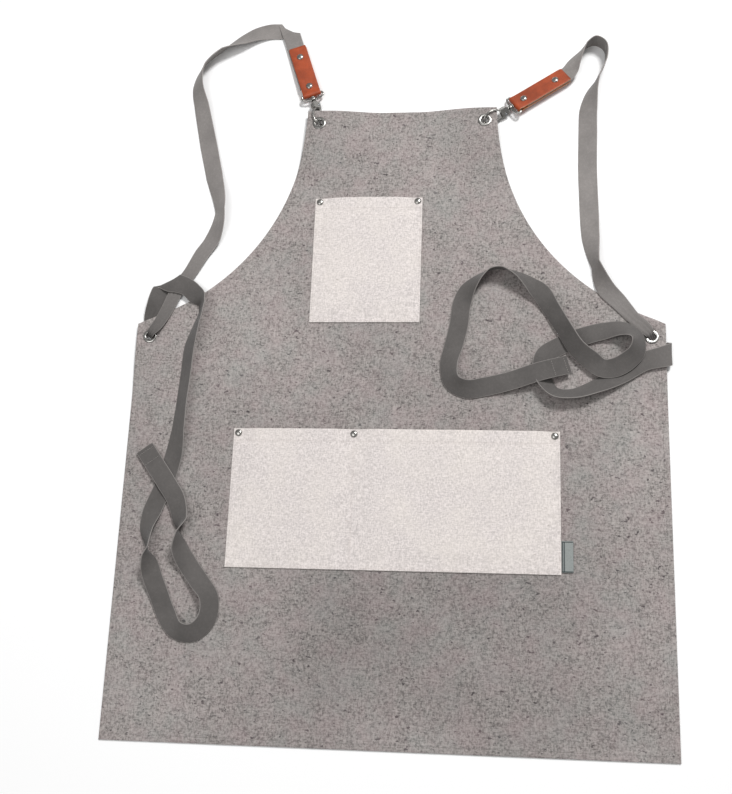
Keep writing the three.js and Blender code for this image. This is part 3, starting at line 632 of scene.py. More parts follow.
def ribbon_faces(count, wide):
    """Faces of a ribbon of count rows, each with wide points above and below, and which are cut edges."""
    ring = 2 * wide
    order = list(range(wide)) + list(range(2 * wide - 1, wide - 1, -1))
    faces, cut = [], []
    for i in range(count - 1):
        for k in range(ring):
            a, b = order[k], order[(k + 1) % ring]
            faces.append((i * ring + a, i * ring + b, (i + 1) * ring + b, (i + 1) * ring + a))
            cut.append(int(a % wide in (0, wide - 1) and b % wide in (0, wide - 1)))
    for start in (0, (count - 1) * ring):
        for k in range(wide - 1):
            faces.append((start + k, start + k + 1, start + wide + k + 1, start + wide + k))
            cut.append(1)
    return faces, cut


def together(*solids):
    """Several (points, faces) as one."""
    points, faces = [], []
    for more_points, more_faces in solids:
        start = len(points)
        points += [Vector(p) for p in more_points]
        faces += [tuple(start + i for i in face) for face in more_faces]
    return points, faces


def moved(solid, matrix):
    points, faces = solid
    return [matrix @ Vector(p) for p in points], faces


def thread_run(run, pitch, up, seed, thick=0.42 * MM, cover=0.74):
    """Sewn stitches along a run: short fat dashes that dive into the cloth at each end."""
    rng = random.Random(seed)
    solids = []
    run = [Vector(p) for p in run]
    lengths = [0.0]
    for a, b in zip(run, run[1:]):
        lengths.append(lengths[-1] + (b - a).length)

    def at(distance):
        distance = min(max(distance, 0.0), lengths[-1])
        low = min(bisect_right(lengths, distance) - 1, len(lengths) - 2)
        share = (distance - lengths[low]) / max(lengths[low + 1] - lengths[low], 1e-9)
        return run[low].lerp(run[low + 1], share)

    count = max(1, int(lengths[-1] / pitch))
    for i in range(count):
        start = i * lengths[-1] / count
        size = pitch * cover * rng.uniform(0.92, 1.08)
        marks = [at(start + size * t) for t in (0.0, 0.22, 0.5, 0.78, 1.0)]
        sink = (-0.5, 0.35, 0.55, 0.35, -0.5)
        line = [m + Vector(up) * thick * s for m, s in zip(marks, sink)]
        solids.append(tube(line, [thick * 0.3, thick * 0.5, thick * 0.55, thick * 0.5, thick * 0.3], 6))
    return together(*solids)


# ---- the panel's form ---------------------------------------------------------------------------
def half_width(y):
    """Half the panel's width at y: straight skirt, then the armhole's curve up to the bib's top."""
    if y <= WAIST_LEVEL:
        return PANEL_HIGH[0]
    (ax, ay), (bx, by) = ARMHOLE_HANDLES
    low, high = 0.0, 1.0
    for _ in range(40):
        t = (low + high) / 2
        s = 1 - t
        level = s**3 * WAIST_LEVEL + 3 * s * s * t * by + 3 * s * t * t * ay + t**3 * PANEL_HIGH[1]
        if level < y:
            low = t
        else:
            high = t
    return s**3 * PANEL_HIGH[0] + 3 * s * s * t * bx + 3 * s * t * t * ax + t**3 * BIB_HALF


def edge_lean(y):
    """Length along the panel's side edge for each unit of y."""
    if y <= WAIST_LEVEL:
        return 1.0
    return math.hypot(1, (half_width(min(y + MM, PANEL_HIGH[1])) - half_width(y - MM)) / (2 * MM))


def panel_rise(x, y):
    """Height of the underside: up at each corner, where a hook or strap passes under."""
    return max(
        CORNER_LIFT[name] * smooth(
            (LIFT_REACH - math.hypot(x - CORNERS[name].x, y - CORNERS[name].y)) / (LIFT_REACH - LIFT_FLAT))
        for name in CORNER_NAMES)


def cloth_wave(x, y):
    """Slow unevenness of cloth that lies on a table, from 0 to 1."""
    slow = noise.noise(Vector((x * 5.0, y * 5.0, 0.3)))
    quick = noise.noise(Vector((x * 17.0, y * 17.0, 4.1)))
    return min(1.0, max(0.0, 0.5 + 0.42 * slow + 0.16 * quick))


def panel_top(x, y):
    """Height of the panel's face away from the hem."""
    cloth = bpy.context.scene.apron_cloth
    return panel_rise(x, y) + 0.35 * MM * cloth_wave(x, y) + cloth.thickness


def edge_distance(x, y):
    """How far a point of the panel is from its nearest edge, about."""
    side = half_width(y) - abs(x)
    if y > WAIST_LEVEL:
        slope = (half_width(y + MM) - half_width(y - MM)) / (2 * MM) if y < PANEL_HIGH[1] - MM else 0
        side /= math.hypot(1, slope)
    return max(0.0, min(side, y - PANEL_LOW[1], PANEL_HIGH[1] - y))


def hem_form(distance, hem):
    """How much the turned hem stands up: full on the fold, pulled in at the stitch line."""
    body = smooth((hem + 1.5 * MM - distance) / (3 * MM))
    groove = math.exp(-((distance - hem * 0.72) / (1.1 * MM)) ** 2)
    rounded = smooth(distance / (1.2 * MM))
    return (0.42 * body - 0.30 * groove) * MM * (0.25 + 0.75 * rounded)


class APRON_OT_panel(bpy.types.Operator):
    """Make the canvas panel with its turned hem and stitching"""
    bl_idname = "apron.panel"
    bl_label = "Canvas panel"

    def execute(self, context):
        cloth = context.scene.apron_cloth
        hem = cloth.hem
        near = [step * MM for step in (0, 0.5, 1.2, 2.4, 4, 5.8, 6.6, 7.2, 7.8, 8.6, 9.6, 11, 13, 17)]
        spans = 104
        columns = [("low", step) for step in near]
        columns += [("share", i / spans) for i in range(1, spans)]
        columns += [("high", step) for step in reversed(near)]
        low, high = PANEL_LOW[1], PANEL_HIGH[1]
        levels = [low + step for step in near]
        row_step = 6.2 * MM
        count = int((high - low - 2 * near[-1]) / row_step)
        levels += [low + near[-1] + (high - low - 2 * near[-1]) * i / count for i in range(1, count)]
        levels += [high - step for step in reversed(near)]
        width, rows = len(columns), len(levels)
        grid = []
        for y in levels:
            reach = half_width(y)
            lean = edge_lean(y)
            inner = near[-1] * lean
            for kind, value in columns:
                if kind == "low":
                    x = -reach + value * lean
                elif kind == "high":
                    x = reach - value * lean
                else:
                    x = (value * 2 - 1) * (reach - inner)
                grid.append((x, y))
        points = []
        for upper in (True, False):
            for x, y in grid:
                distance = edge_distance(x, y)
                under = panel_rise(x, y) + 0.35 * MM * cloth_wave(x, y)
                if upper:
                    points.append((x, y, under + cloth.thickness + hem_form(distance, hem)))
                else:
                    points.append((x, y, under + 0.12 * MM * (1 - smooth(distance / (1.2 * MM)))))
        holes = [(c.x, c.y) for c in CORNERS.values()]
        bore, margin = 6.1 * MM, 7.4 * MM
        keep = [all(math.hypot(x - hx, y - hy) > margin for hx, hy in holes) for x, y in grid]
        size = len(grid)
        top, bottom = [], []
        used = set()
        for j in range(rows - 1):
            for i in range(width - 1):
                quad = (j * width + i, j * width + i + 1, (j + 1) * width + i + 1, (j + 1) * width + i)
                if all(keep[k] for k in quad):
                    top.append(quad)
                    bottom.append(tuple(k + size for k in quad))
                    used.update(quad)
        edges = {}
        for quad in top:
            for a, b in zip(quad, quad[1:] + quad[:1]):
                key = (min(a, b), max(a, b))
                edges[key] = None if key in edges else (a, b)
        rim = [pair for pair in edges.values() if pair]
        for a, b in rim:
            for k in (a, b):
                x, y = grid[k]
                for hx, hy in holes:
                    away = math.hypot(x - hx, y - hy)
                    if away < margin + 9 * MM and edge_distance(x, y) > 2 * MM:
                        pull = bore / away
                        for copy in (k, k + size):
                            points[copy] = (hx + (x - hx) * pull, hy + (y - hy) * pull, points[copy][2])
        faces = top + bottom + [(b, a, a + size, b + size) for a, b in rim]
        order = [k for k in range(2 * size) if (k % size) in used]
        renumber = {k: n for n, k in enumerate(order)}
        panel = piece("canvas_panel", [points[k] for k in order],
                      [tuple(renumber[k] for k in face) for face in faces],
                      ["canvas"], "apron", "canvas", ("apron_panel",))
        self.hem_stitches(cloth)
        return {"FINISHED"}

    def hem_stitches(self, cloth):
        inset = cloth.hem * 0.72
        low, high = PANEL_LOW[1] + inset, PANEL_HIGH[1] - inset

        def sewn(x, y):
            return Vector((x, y, panel_top(x, y) + 0.02 * MM))

        def side(sign):
            line = []
            for i in range(int((high - low) / (2 * MM)) + 1):
                y = min(low + i * 2 * MM, high)
                line.append(sewn(sign * (half_width(y) - inset * edge_lean(y)), y))
            return line

        reach = half_width(low) - inset
        bib = half_width(high) - inset
        runs = [
            side(-1),
            side(1),
            [sewn(-reach + 2 * reach * i / 200, low) for i in range(201)],
            [sewn(-bib + 2 * bib * i / 90, high) for i in range(91)],
        ]
        solids = [thread_run(run, cloth.stitch, (0, 0, 1), i) for i, run in enumerate(runs)]
        piece("hem_stitching", *together(*solids), ["thread"], "apron", "canvas")


# ---- pockets ------------------------------------------------------------------------------------
SEAM_ROW, MOUTH_ROW, MOUTH_HEM, TWIN_ROW = 2.6 * MM, 16.5 * MM, 19 * MM, 0.8 * MM
POCKETS = {
    "chest_pocket": {"low": CHEST_LOW, "high": CHEST_HIGH, "dividers": (), "rivets": CHEST_RIVETS, "seed": 5.0},
    "waist_pocket": {"low": WAIST_LOW, "high": WAIST_HIGH, "rivets": WAIST_RIVETS, "seed": 9.0,
                     "dividers": (RIVET_SPOTS["waist_pocket_middle"].x,)},
}


def pocket_stand(pocket, x, y):
    """How far the pocket's cloth stands off the panel at a point, 0 on its seams and rivets."""
    low, high = pocket["low"], pocket["high"]
    seams = [x - low[0], high[0] - x, y - low[1]] + [abs(x - d) for d in pocket["dividers"]]
    stand = 1.0
    for distance in seams:
        stand *= smooth((distance - 2.5 * MM) / (24 * MM))
    for name in pocket["rivets"]:
        stand *= smooth((math.hypot(x - RIVET_SPOTS[name].x, y - RIVET_SPOTS[name].y) - 6 * MM) / (24 * MM))
    mouth = 0.55 + 0.45 * smooth((y - low[1]) / (high[1] - low[1]))
    rumple = noise.noise(Vector((x * 14, y * 14, pocket["seed"])))
    return stand * mouth * (2.6 + 0.9 * rumple) * MM


def pocket_face(pocket, x, y):
    """Height of the pocket's outer face."""
    low, high = pocket["low"], pocket["high"]
    edge = min(x - low[0], high[0] - x, y - low[1])
    top = high[1] - y
    fold = 0.30 * MM * smooth((MOUTH_HEM - top) / (2.5 * MM)) + 0.34 * MM * smooth((8 * MM - edge) / (2.5 * MM))
    seam = 0.24 * MM * math.exp(-((edge - SEAM_ROW) / (0.8 * MM)) ** 2)
    seam += 0.22 * MM * math.exp(-((top - MOUTH_ROW) / (0.9 * MM)) ** 2)
    seam += sum(0.22 * MM * math.exp(-((abs(x - d) - TWIN_ROW) / (0.8 * MM)) ** 2) for d in pocket["dividers"])
    rolled = 0.35 * MM * (1 - smooth(min(edge, top) / (1.0 * MM)))
    return POCKET_BASE + 0.85 * MM + pocket_stand(pocket, x, y) + fold - seam - rolled


def even_lines(low, high, stops, step, near):
    """Grid lines from low to high, closer together by each stop."""
    lines = {round(low, 7), round(high, 7)}
    for stop in stops:
        for offset in near:
            for place in (stop - offset * MM, stop + offset * MM):
                if low <= place <= high:
                    lines.add(round(place, 7))
    ordered = sorted(lines)
    filled = []
    for a, b in zip(ordered, ordered[1:]):
        parts = max(1, math.ceil((b - a) / step))
        filled += [a + (b - a) * i / parts for i in range(parts)]
    return filled + [ordered[-1]]


class APRON_OT_pockets(bpy.types.Operator):
    """Make the chest and waist pockets with their folded edges and stitching"""
    bl_idname = "apron.pockets"
    bl_label = "Pockets"

    def execute(self, context):
        for name, pocket in POCKETS.items():
            self.pocket(name, pocket)
            self.stitches(context.scene.apron_cloth, name, pocket)
        return {"FINISHED"}

    def pocket(self, name, pocket):
        low, high = pocket["low"], pocket["high"]
        near = (0, 0.4, 1, 1.8, 2.6, 3.4, 4.4, 6.5, 8, 10)
        x_lines = even_lines(low[0], high[0], (low[0], high[0], *pocket["dividers"]), 4 * MM, near)
        y_stops = (low[1], high[1], high[1] - MOUTH_ROW, high[1] - MOUTH_HEM)
        y_lines = even_lines(low[1], high[1], y_stops, 4 * MM, (0, 0.4, 1, 1.8, 2.6, 4.4))
        bow = 1.1 * MM if not pocket["dividers"] else 0.5 * MM

        def place(x, y):
            """The mouth bows a little towards the neck between its rivets."""
            share = (y - low[1]) / (high[1] - low[1])
            middle_share = math.sin(math.pi * (x - low[0]) / (high[0] - low[0]))
            return x, y - bow * share * (1 - middle_share)

        points = []
        for side in (1, 0):
            for y in y_lines:
                for x in x_lines:
                    px, py = place(x, y)
                    face = pocket_face(pocket, x, y)
                    under = POCKET_BASE + pocket_stand(pocket, x, y)
                    points.append((px, py, face if side else max(POCKET_BASE, under)))
        faces = cloth_faces(len(x_lines), len(y_lines))
        made = piece(f"{name}_cloth", points, faces, ["pocket"], "apron", "pocket_canvas", (name,))

    def stitches(self, cloth, name, pocket):
        low, high = pocket["low"], pocket["high"]
        inset = SEAM_ROW
        top = high[1] - 2 * MM

        def sewn(x, y):
            return Vector((x, y, pocket_face(pocket, x, y) + 0.04 * MM))

        def line(ax, ay, bx, by):
            parts = max(8, int(math.hypot(bx - ax, by - ay) / (3 * MM)))
            return [sewn(ax + (bx - ax) * i / parts, ay + (by - ay) * i / parts) for i in range(parts + 1)]

        left, right, bottom = low[0] + inset, high[0] - inset, low[1] + inset
        runs = [
            line(left, bottom, left, top),
            line(left, bottom, right, bottom),
            line(right, bottom, right, top),
            line(left, high[1] - MOUTH_ROW, right, high[1] - MOUTH_ROW),
        ]
        runs += [line(d + aside, bottom, d + aside, top - 6 * MM)
                 for d in pocket["dividers"] for aside in (-TWIN_ROW, TWIN_ROW)]
        solids = [thread_run(run, cloth.stitch * 0.85, (0, 0, 1), i, 0.34 * MM) for i, run in enumerate(runs)]
        piece(f"{name}_stitching", *together(*solids), ["pocket_thread"], "apron", "pocket_canvas")


class APRON_OT_tag(bpy.types.Operator):
    """Make the plain woven tag in the waist pocket's side seam"""
    bl_idname = "apron.tag"
    bl_label = "Side tag"

    def execute(self, context):
        low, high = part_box("side_tag")
        wide, tall = high[0] - low[0], high[1] - low[1]
        across, up = 12, 26
        base = low[2] + 0.1 * MM

        def height(i, j):
            curl = 0.5 * math.sin(math.pi * i / across) + 0.5 * (i / across) ** 2
            return base + curl * (0.5 + 0.4 * math.sin(2.3 * j / up + 0.6)) * MM

        points = []
        for thick in (0.75 * MM, 0):
            for j in range(up + 1):
                for i in range(across + 1):
                    round_off = 0.2 * MM if thick and i in (0, across) else 0
                    points.append((low[0] + wide * i / across, low[1] + tall * j / up,
                                   height(i, j) + thick - round_off))
        faces = cloth_faces(across + 1, up + 1)
        made = piece("woven_tag", points, faces, ["tag"], "apron", "tag_cloth", ("side_tag",))
        lines = []
        for share in (0.03, 0.97):
            j = share * up
            run = [(low[0] + wide * (0.04 + 0.92 * i / 12), low[1] + tall * share, height(i, j) + 0.78 * MM)
                   for i in range(13)]
            lines.append(tube(run, 0.55 * MM, 6))
        for share in (0.10, 0.24):
            i = share * across
            run = [(low[0] + wide * share, low[1] + tall * (0.03 + 0.94 * j / up), height(i, j) + 0.7 * MM)
                   for j in range(up + 1)]
            lines.append(tube(run, 0.6 * MM, 6))
        piece("tag_end_lines", *together(*lines), ["tag_line"], "apron", "tag_cloth")
        return {"FINISHED"}


# ---- webbing ------------------------------------------------------------------------------------
def strap_rows(route, step):
    """Rows of (centre, cross direction, width, distance along) down a strap, by its route's points."""
    places = [Vector(row[:3]) * MM for row in route]
    crosses = []
    for i, row in enumerate(route):
        before, after = places[max(i - 1, 0)], places[min(i + 1, len(places) - 1)]
        heading = math.atan2(after.y - before.y, after.x - before.x)
        heading = math.radians(row[5]) if len(row) > 5 else heading
        lean = math.radians(row[3])
        crosses.append(Vector((-math.sin(heading) * math.cos(lean), math.cos(heading) * math.cos(lean),
                               math.sin(lean))))
    ends = [places[0] * 2 - places[1], *places, places[-1] * 2 - places[-2]]
    rows, gone, last = [], 0.0, places[0]
    for i in range(len(places) - 1):
        fine = step if i < len(places) - 2 else step / 3
        steps = max(2, math.ceil((places[i + 1] - places[i]).length / fine))
        for k in range(steps + (i == len(places) - 2)):
            t = k / steps
            centre = catmull(ends[i:i + 4], t)
            gone += (centre - last).length
            last = centre
            cross = crosses[i].lerp(crosses[i + 1], t).normalized()
            width = (route[i][4] * (1 - t) + route[i + 1][4] * t) * MM
            rows.append((centre, cross, width, gone))
    return rows


class APRON_OT_straps(bpy.types.Operator):
    """Make the two webbing straps with their sewn ends"""
    bl_idname = "apron.straps"
    bl_label = "Webbing straps"

    def execute(self, context):
        thickness = context.scene.apron_straps.webbing_thickness
        for side, route in STRAP_ROUTES.items():
            self.strap(side, route, thickness)
        return {"FINISHED"}

    def strap(self, side, route, thickness):
        rows = strap_rows(route, 2.6 * MM)
        full = max(route[0][4], 25) * MM
        across = (-1, -0.985, -0.93, -0.8, -0.6, -0.4, -0.2, 0, 0.2, 0.4, 0.6, 0.8, 0.93, 0.985, 1)
        total = rows[-1][3]
        hem = 24 * MM
        points, uvs, normals = [], [], []
        for i, (_, cross, _, _) in enumerate(rows):
            before, after = rows[max(i - 1, 0)][0], rows[min(i + 1, len(rows) - 1)][0]
            normals.append((after - before).normalized().cross(cross).normalized())
        for normal, (centre, cross, width, gone) in zip(normals, rows):
            squeeze = smooth((full - width) / (full - 8 * MM))
            folds = 1.25 * MM * squeeze
            doubled = 0.55 * MM * smooth((gone - (total - hem)) / (1.0 * MM))
            doubled += 1.3 * MM * math.exp(-((total - gone - 1.8 * MM) / (1.5 * MM)) ** 2)
            end = smooth((total - gone) / (0.8 * MM))
            cup = 0.35 * MM * math.sin(gone * 31 + (1.7 if side == "left" else 0.2)) * (1 - squeeze)
            lowest = 0.0
            corners = []
            for up in (1, -1):
                for u in across:
                    selvedge = 0.12 * MM * math.exp(-((abs(u) - 0.93) / 0.05) ** 2)
                    rim = 0.42 if abs(u) > 0.999 else (0.8 if abs(u) > 0.98 else 1.0)
                    half = (thickness / 2 + selvedge * 0.5 + doubled / 2) * rim * (0.55 + 0.45 * end)
                    drift = folds * math.sin(math.pi * 3.2 * u + gone * 40) + cup * (u * u - 0.4)
                    corner = centre + cross * (u * width / 2) + normal * (up * half + drift)
                    corners.append(corner)
                    lowest = min(lowest, corner.z - 0.15 * MM)
                    uvs.append(((u + 1) / 2, gone))
            points += [corner - Vector((0, 0, lowest)) for corner in corners]
        faces, _ = ribbon_faces(len(rows), len(across))
        made = piece(f"{side}_webbing", points, faces, ["webbing"], "apron", "webbing", (f"{side}_strap",),
                     uvs=uvs)
        self.end_stitches(side, rows, normals, thickness)

    def end_stitches(self, side, rows, normals, thickness):
        total = rows[-1][3]
        runs = []
        for back in (21 * MM, 4.6 * MM):
            i = min(range(len(rows)), key=lambda k: abs(total - back - rows[k][3]))
            centre, cross, width, _ = rows[i]
            for up in (1, -1):
                lift = normals[i] * up * (thickness / 2 + 0.32 * MM)
                runs.append(([centre + cross * (width * 0.43 * (s / 6 - 1)) + lift for s in range(13)],
                             normals[i] * up))
        solids = [thread_run(run, 2.7 * MM, up, i, 0.4 * MM) for i, (run, up) in enumerate(runs)]
        piece(f"{side}_strap_end_stitching", *together(*solids), ["strap_thread"], "apron", "webbing")


# ---- leather tabs and hooks ---------------------------------------------------------------------
def side_frames(side):
    """Where a side's hook, loop and tab stand: their own frames in the apron's."""
    facts = SIDES[side]
    turn = Matrix.Rotation(math.radians(facts["heading"]), 4, "Z")
    eyelet = CORNERS[facts["eyelet"]]
    hole = turn @ HOLE_IN_HOOK
    stand = Matrix.Translation((eyelet.x - hole.x, eyelet.y - hole.y, HOOK_AXIS_HEIGHT)) @ turn
    hook = stand @ Matrix.Rotation(math.radians(HOOK_ROLL), 4, "Y")
    loop = stand @ Matrix.Rotation(math.radians(-facts["lean"]), 4, "Y")
    tab = loop @ Matrix.Translation((0, LOOP_BAR, 0)) @ Matrix.Rotation(math.radians(facts["pitch"]), 4, "X")
    return hook, loop, tab


TAB_PILLOW = ((0.9, 1.0), (0.96, 0.93), (0.99, 0.82), (2, 0.6))


class APRON_OT_tabs(bpy.types.Operator):
    """Make the two folded leather tabs"""
    bl_idname = "apron.tabs"
    bl_label = "Leather tabs"

    def execute(self, context):
        for side in SIDES:
            self.tab(side)
        return {"FINISHED"}

    def tab(self, side):
        inner, leather, half = 1.9 * MM, 1.8 * MM, 1.1 * MM
        end, neck = 82.3 * MM, 6.5 * MM
        wide = 12.75 * MM
        steps = 14
        middle_line = [(end - (end - neck) * i / 33, half + leather / 2) for i in range(34)]
        ease = [(neck * (1 - i / 5), half + leather / 2 + (inner - half) * smooth(i / 5)) for i in range(1, 5)]
        bend = [((inner + leather / 2) * math.cos(math.pi / 2 + math.pi * i / steps),
                 (inner + leather / 2) * math.sin(math.pi / 2 + math.pi * i / steps)) for i in range(steps + 1)]
        upper = middle_line + ease
        run = upper + bend + [(y, -z) for y, z in reversed(upper)]
        across = (-1, -0.985, -0.95, -0.86, -0.6, -0.3, 0, 0.3, 0.6, 0.86, 0.95, 0.985, 1)
        points = []
        count = len(run)
        for i, (y, z) in enumerate(run):
            before, after = run[max(i - 1, 0)], run[min(i + 1, count - 1)]
            heading = Vector((0, after[0] - before[0], after[1] - before[1])).normalized()
            normal = Vector((0, heading.z, -heading.y))
            from_end = min(i, count - 1 - i)
            corner = wide if from_end > 2 else wide - (0.9, 0.35, 0.08)[from_end] * MM
            for up in (1, -1):
                for u in across:
                    x = u * corner
                    pillow = next(full for limit, full in TAB_PILLOW if abs(u) < limit)
                    end_roll = 0.72 if from_end == 0 else 1.0
                    thick = leather / 2 * pillow * end_roll
                    press = sum(0.16 * MM * math.exp(-(((y - r) ** 2 + x * x) / (6.5 * MM) ** 2))
                                for r in TAB_RIVETS) if abs(z) < inner and y > 0 else 0
                    outward = 1 if normal.z * z >= 0 else -1
                    sink = press if up == outward else 0
                    points.append(Vector((x, y, z)) + normal * (up * (thick - sink)))
        faces, index = ribbon_faces(count, len(across))
        _, _, frame_of_tab = side_frames(side)
        made = piece(f"{side}_leather_strip", points, faces, ["leather", "leather_edge"], "apron", "leather",
                     (f"{side}_leather_tab",), place=frame_of_tab, index=index)


def in_hook(across, along):
    return Vector((across, -along, 0)) * MM


PIN_PLACE = Matrix.Translation(in_hook(3.6, 6.6))


class APRON_OT_hooks(bpy.types.Operator):
    """Make the swivel snap hooks: loop, body with its wire, gate and spring"""
    bl_idname = "apron.hooks"
    bl_label = "Snap hooks"

    def execute(self, context):
        for side in SIDES:
            hook, loop, _ = side_frames(side)
            self.loop(side, loop)
            self.body(side, hook)
            self.gate(side, hook)
            self.spring(side, hook)
        return {"FINISHED"}

    def loop(self, side, place):
        half, bar, boss = 15.2, LOOP_BAR / MM, 4.0
        ring = []
        for sign in (1, -1):
            line = [(0, bar), (half - 4, bar), (half - 1.4, bar - 0.1), (half - 0.2, bar - 1.6),
                    (half, bar - 4.5), (half - 2.8, boss + 2), (7, boss + 0.6), (2.8, boss)]
            run = soft_run([Vector((sign * x, y, 0)) * MM for x, y in line], 6)
            ring.append(tube(run, 1.5 * MM, 16))
        collar = spin(((2.15, -2), (3.7, -2), (4.2, -1.5), (4.2, 1.5), (3.7, 2), (2.15, 2), (2.15, -2)), 40)
        collar = moved(collar, Matrix.Translation((0, boss * MM, 0)) @ Matrix.Rotation(math.pi / 2, 4, "X"))
        piece(f"{side}_loop", *together(*ring, collar), ["nickel"], f"{side}_loop", "nickel",
              (f"{side}_hook_loop",), place=place)

    def body(self, side, place):
        arm, gate, near, far, thick = -6.0, 6.6, 1.0, 12.2, 4.0
        outline = [(arm + 1.6, -far), (gate - 1.2, -far), (gate, -far + 1.2), (gate, -near - 2),
                   (gate - 3, -near), (arm + 3, -near), (arm, -near - 2.4), (arm, -far + 2)]
        inner = thick - 1.8
        solids = [plate(outline, inner, thick), plate(outline, -thick, -inner)]
        web = [(arm + 0.3, -far + 2), (arm + 1.7, -far + 0.2), (-0.6, -far + 0.2), (-0.6, -3.2),
               (gate - 0.2, -3.2), (gate - 3.1, -near - 0.1), (arm + 3.1, -near - 0.1), (arm + 0.2, -near - 2.4)]
        solids.append(plate(web, -inner, inner))
        made = piece(f"{side}_hook_box", *together(*solids), ["nickel"], f"{side}_hook", "nickel",
                     (f"{side}_hook_body",), place=place, flat=True)
        round_edges(made, 0.5 * MM, 35, 3)
        line = [(-3.6, 9.5), (-6.6, 14), (-9.4, 20), (-10.2, 27), (-8.8, 32.6), (-4.4, 36.8), (0.8, 38),
                (5.2, 36), (7.4, 31.8), (7.6, 28.2)]
        run = soft_run([in_hook(x, y) for x, y in line], 8)
        radii = [1.3 * MM] * (len(run) - 3) + [1.2 * MM, 0.95 * MM, 0.5 * MM]
        flare = [1.3 * MM + 0.5 * MM * (1 - smooth(i / 10)) for i in range(len(run))]
        radii = [max(a, b) if i < 12 else a for i, (a, b) in enumerate(zip(radii, flare))]
        wire = tube(run, radii, 18)
        collar = spin((
            (0, -1.4), (3.2, -1.4), (3.6, -1.0), (3.6, 0.2), (2.6, 1.2), (1.9, 1.6), (1.9, 6.35), (3.1, 6.35),
            (3.4, 6.7), (3.4, 7.6), (2.9, 8.05), (0, 8.15)), 36)
        collar = moved(collar, Matrix.Rotation(-math.pi / 2, 4, "X"))
        piece(f"{side}_hook_wire", *together(wire, collar), ["nickel"], f"{side}_hook", "nickel", place=place)
        head = spin(((0, 4.0), (1.7, 4.0), (1.7, 4.25), (1.2, 4.6), (0, 4.72)), 24)
        heads = [moved(head, PIN_PLACE @ Matrix.Rotation(turn, 4, "X")) for turn in (0, math.pi)]
        piece(f"{side}_pin_heads", *together(*heads), ["steel"], f"{side}_hook", "spring_steel", place=place)

    def gate(self, side, place):
        hub = spin((
            (1.45, -1.9), (2.3, -1.9), (2.6, -1.6), (2.6, -0.1), (2.3, 0.2), (1.45, 0.2), (1.45, -1.9)), 36)
        hub = moved(hub, PIN_PLACE)
        leaf = [(4.6, -8.6), (5.1, -13.4), (6.5, -27.4), (8.7, -27.4), (8.0, -14.4), (9.4, -10.6), (9.0, -8.6),
                (7.0, -8.0), (5.9, -7.0)]
        leaf = plate(leaf, -1.3, 0.2)
        tip = [(5.2, -13.6), (6.6, -27.3), (8.6, -27.3), (7.9, -14.6)]
        tip = plate(tip, -1.28, 1.3)
        made = piece(f"{side}_gate_lever", *together(hub, leaf, tip), ["nickel"], f"{side}_gate", "nickel",
                     (f"{side}_hook_gate",), place=place, flat=True)
        round_edges(made, 0.3 * MM, 35, 2)

    def spring(self, side, place):
        turns, each = 2.6, 28
        run = []
        for i in range(int(turns * each) + 1):
            angle = 2 * math.pi * i / each
            rise = 0.62 + 1.15 * i / (turns * each)
            run.append(PIN_PLACE @ (Vector((1.9 * math.cos(angle), 1.9 * math.sin(angle), rise)) * MM))
        piece(f"{side}_torsion_spring", *tube(run, 0.26 * MM, 8), ["steel"], f"{side}_hook", "spring_steel",
              (f"{side}_gate_spring",), place=place)


# ---- eyelets and rivets -------------------------------------------------------------------------
class APRON_OT_eyelets(bpy.types.Operator):
    """Make the four rolled eyelets"""
    bl_idname = "apron.eyelets"
    bl_label = "Eyelets"

    def execute(self, context):
        for name in CORNER_NAMES:
            deck = 2.3
            rolled = [(5.2, -1.2), (5.75, -1.2), (5.75, deck), (9.0, deck), (9.2, deck + 0.12)]
            rolled += [(7.2 + 2.0 * math.cos(a), deck + 0.12 + 0.62 * math.sin(a))
                       for a in [math.pi * i / 14 for i in range(1, 14)]]
            rolled += [(5.2, deck + 0.02), (5.2, -1.2)]
            spot = Matrix.Translation((CORNERS[name].x, CORNERS[name].y, CORNER_LIFT[name]))
            piece(f"{name}_rolled_eyelet", *spin(rolled, 56), ["nickel"], "apron",
                  "nickel", (f"{name}_eyelet",), place=spot)
        return {"FINISHED"}


def rivet_cap(depth):
    """A domed cap with a stepped rim on a short post."""
    cap, height = 4.6, 2.0
    profile = [(0, -depth), (1.5, -depth), (1.5, 0), (cap - 0.15, 0), (cap, 0.18), (cap, 0.42),
               (cap - 0.28, 0.66), (cap - 0.62, 0.72), (cap - 0.72, 0.84)]
    profile += [((cap - 0.72) * math.cos(a), 0.84 + (height - 0.84) * math.sin(a))
                for a in [math.pi / 2 * i / 8 for i in range(1, 8)]]
    profile.append((0, height))
    return spin(profile, 40)


class APRON_OT_rivets(bpy.types.Operator):
    """Make the rivet caps of the pockets and the tabs"""
    bl_idname = "apron.rivets"
    bl_label = "Rivets"

    def execute(self, context):
        for name in CHEST_RIVETS + WAIST_RIVETS:
            low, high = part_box(f"{name}_rivet")
            spot = Matrix.Translation(((low[0] + high[0]) / 2, (low[1] + high[1]) / 2, high[2] - 2.0 * MM))
            piece(f"{name}_rivet_cap", *rivet_cap((high[2] - low[2]) / MM - 2.0), ["nickel"], "apron", "nickel",
                  (f"{name}_rivet",), place=spot)
        for side in SIDES:
            _, _, tab = side_frames(side)
            for label, y in zip(("lower", "upper"), TAB_RIVETS):
                spot = tab @ Matrix.Translation((0, y, TAB_DECK))
                piece(f"{side}_tab_{label}_cap", *rivet_cap(2 * TAB_DECK / MM - 0.3), ["nickel"], "apron",
                      "nickel", (f"{side}_tab_{label}_rivet",), place=spot)
        return {"FINISHED"}


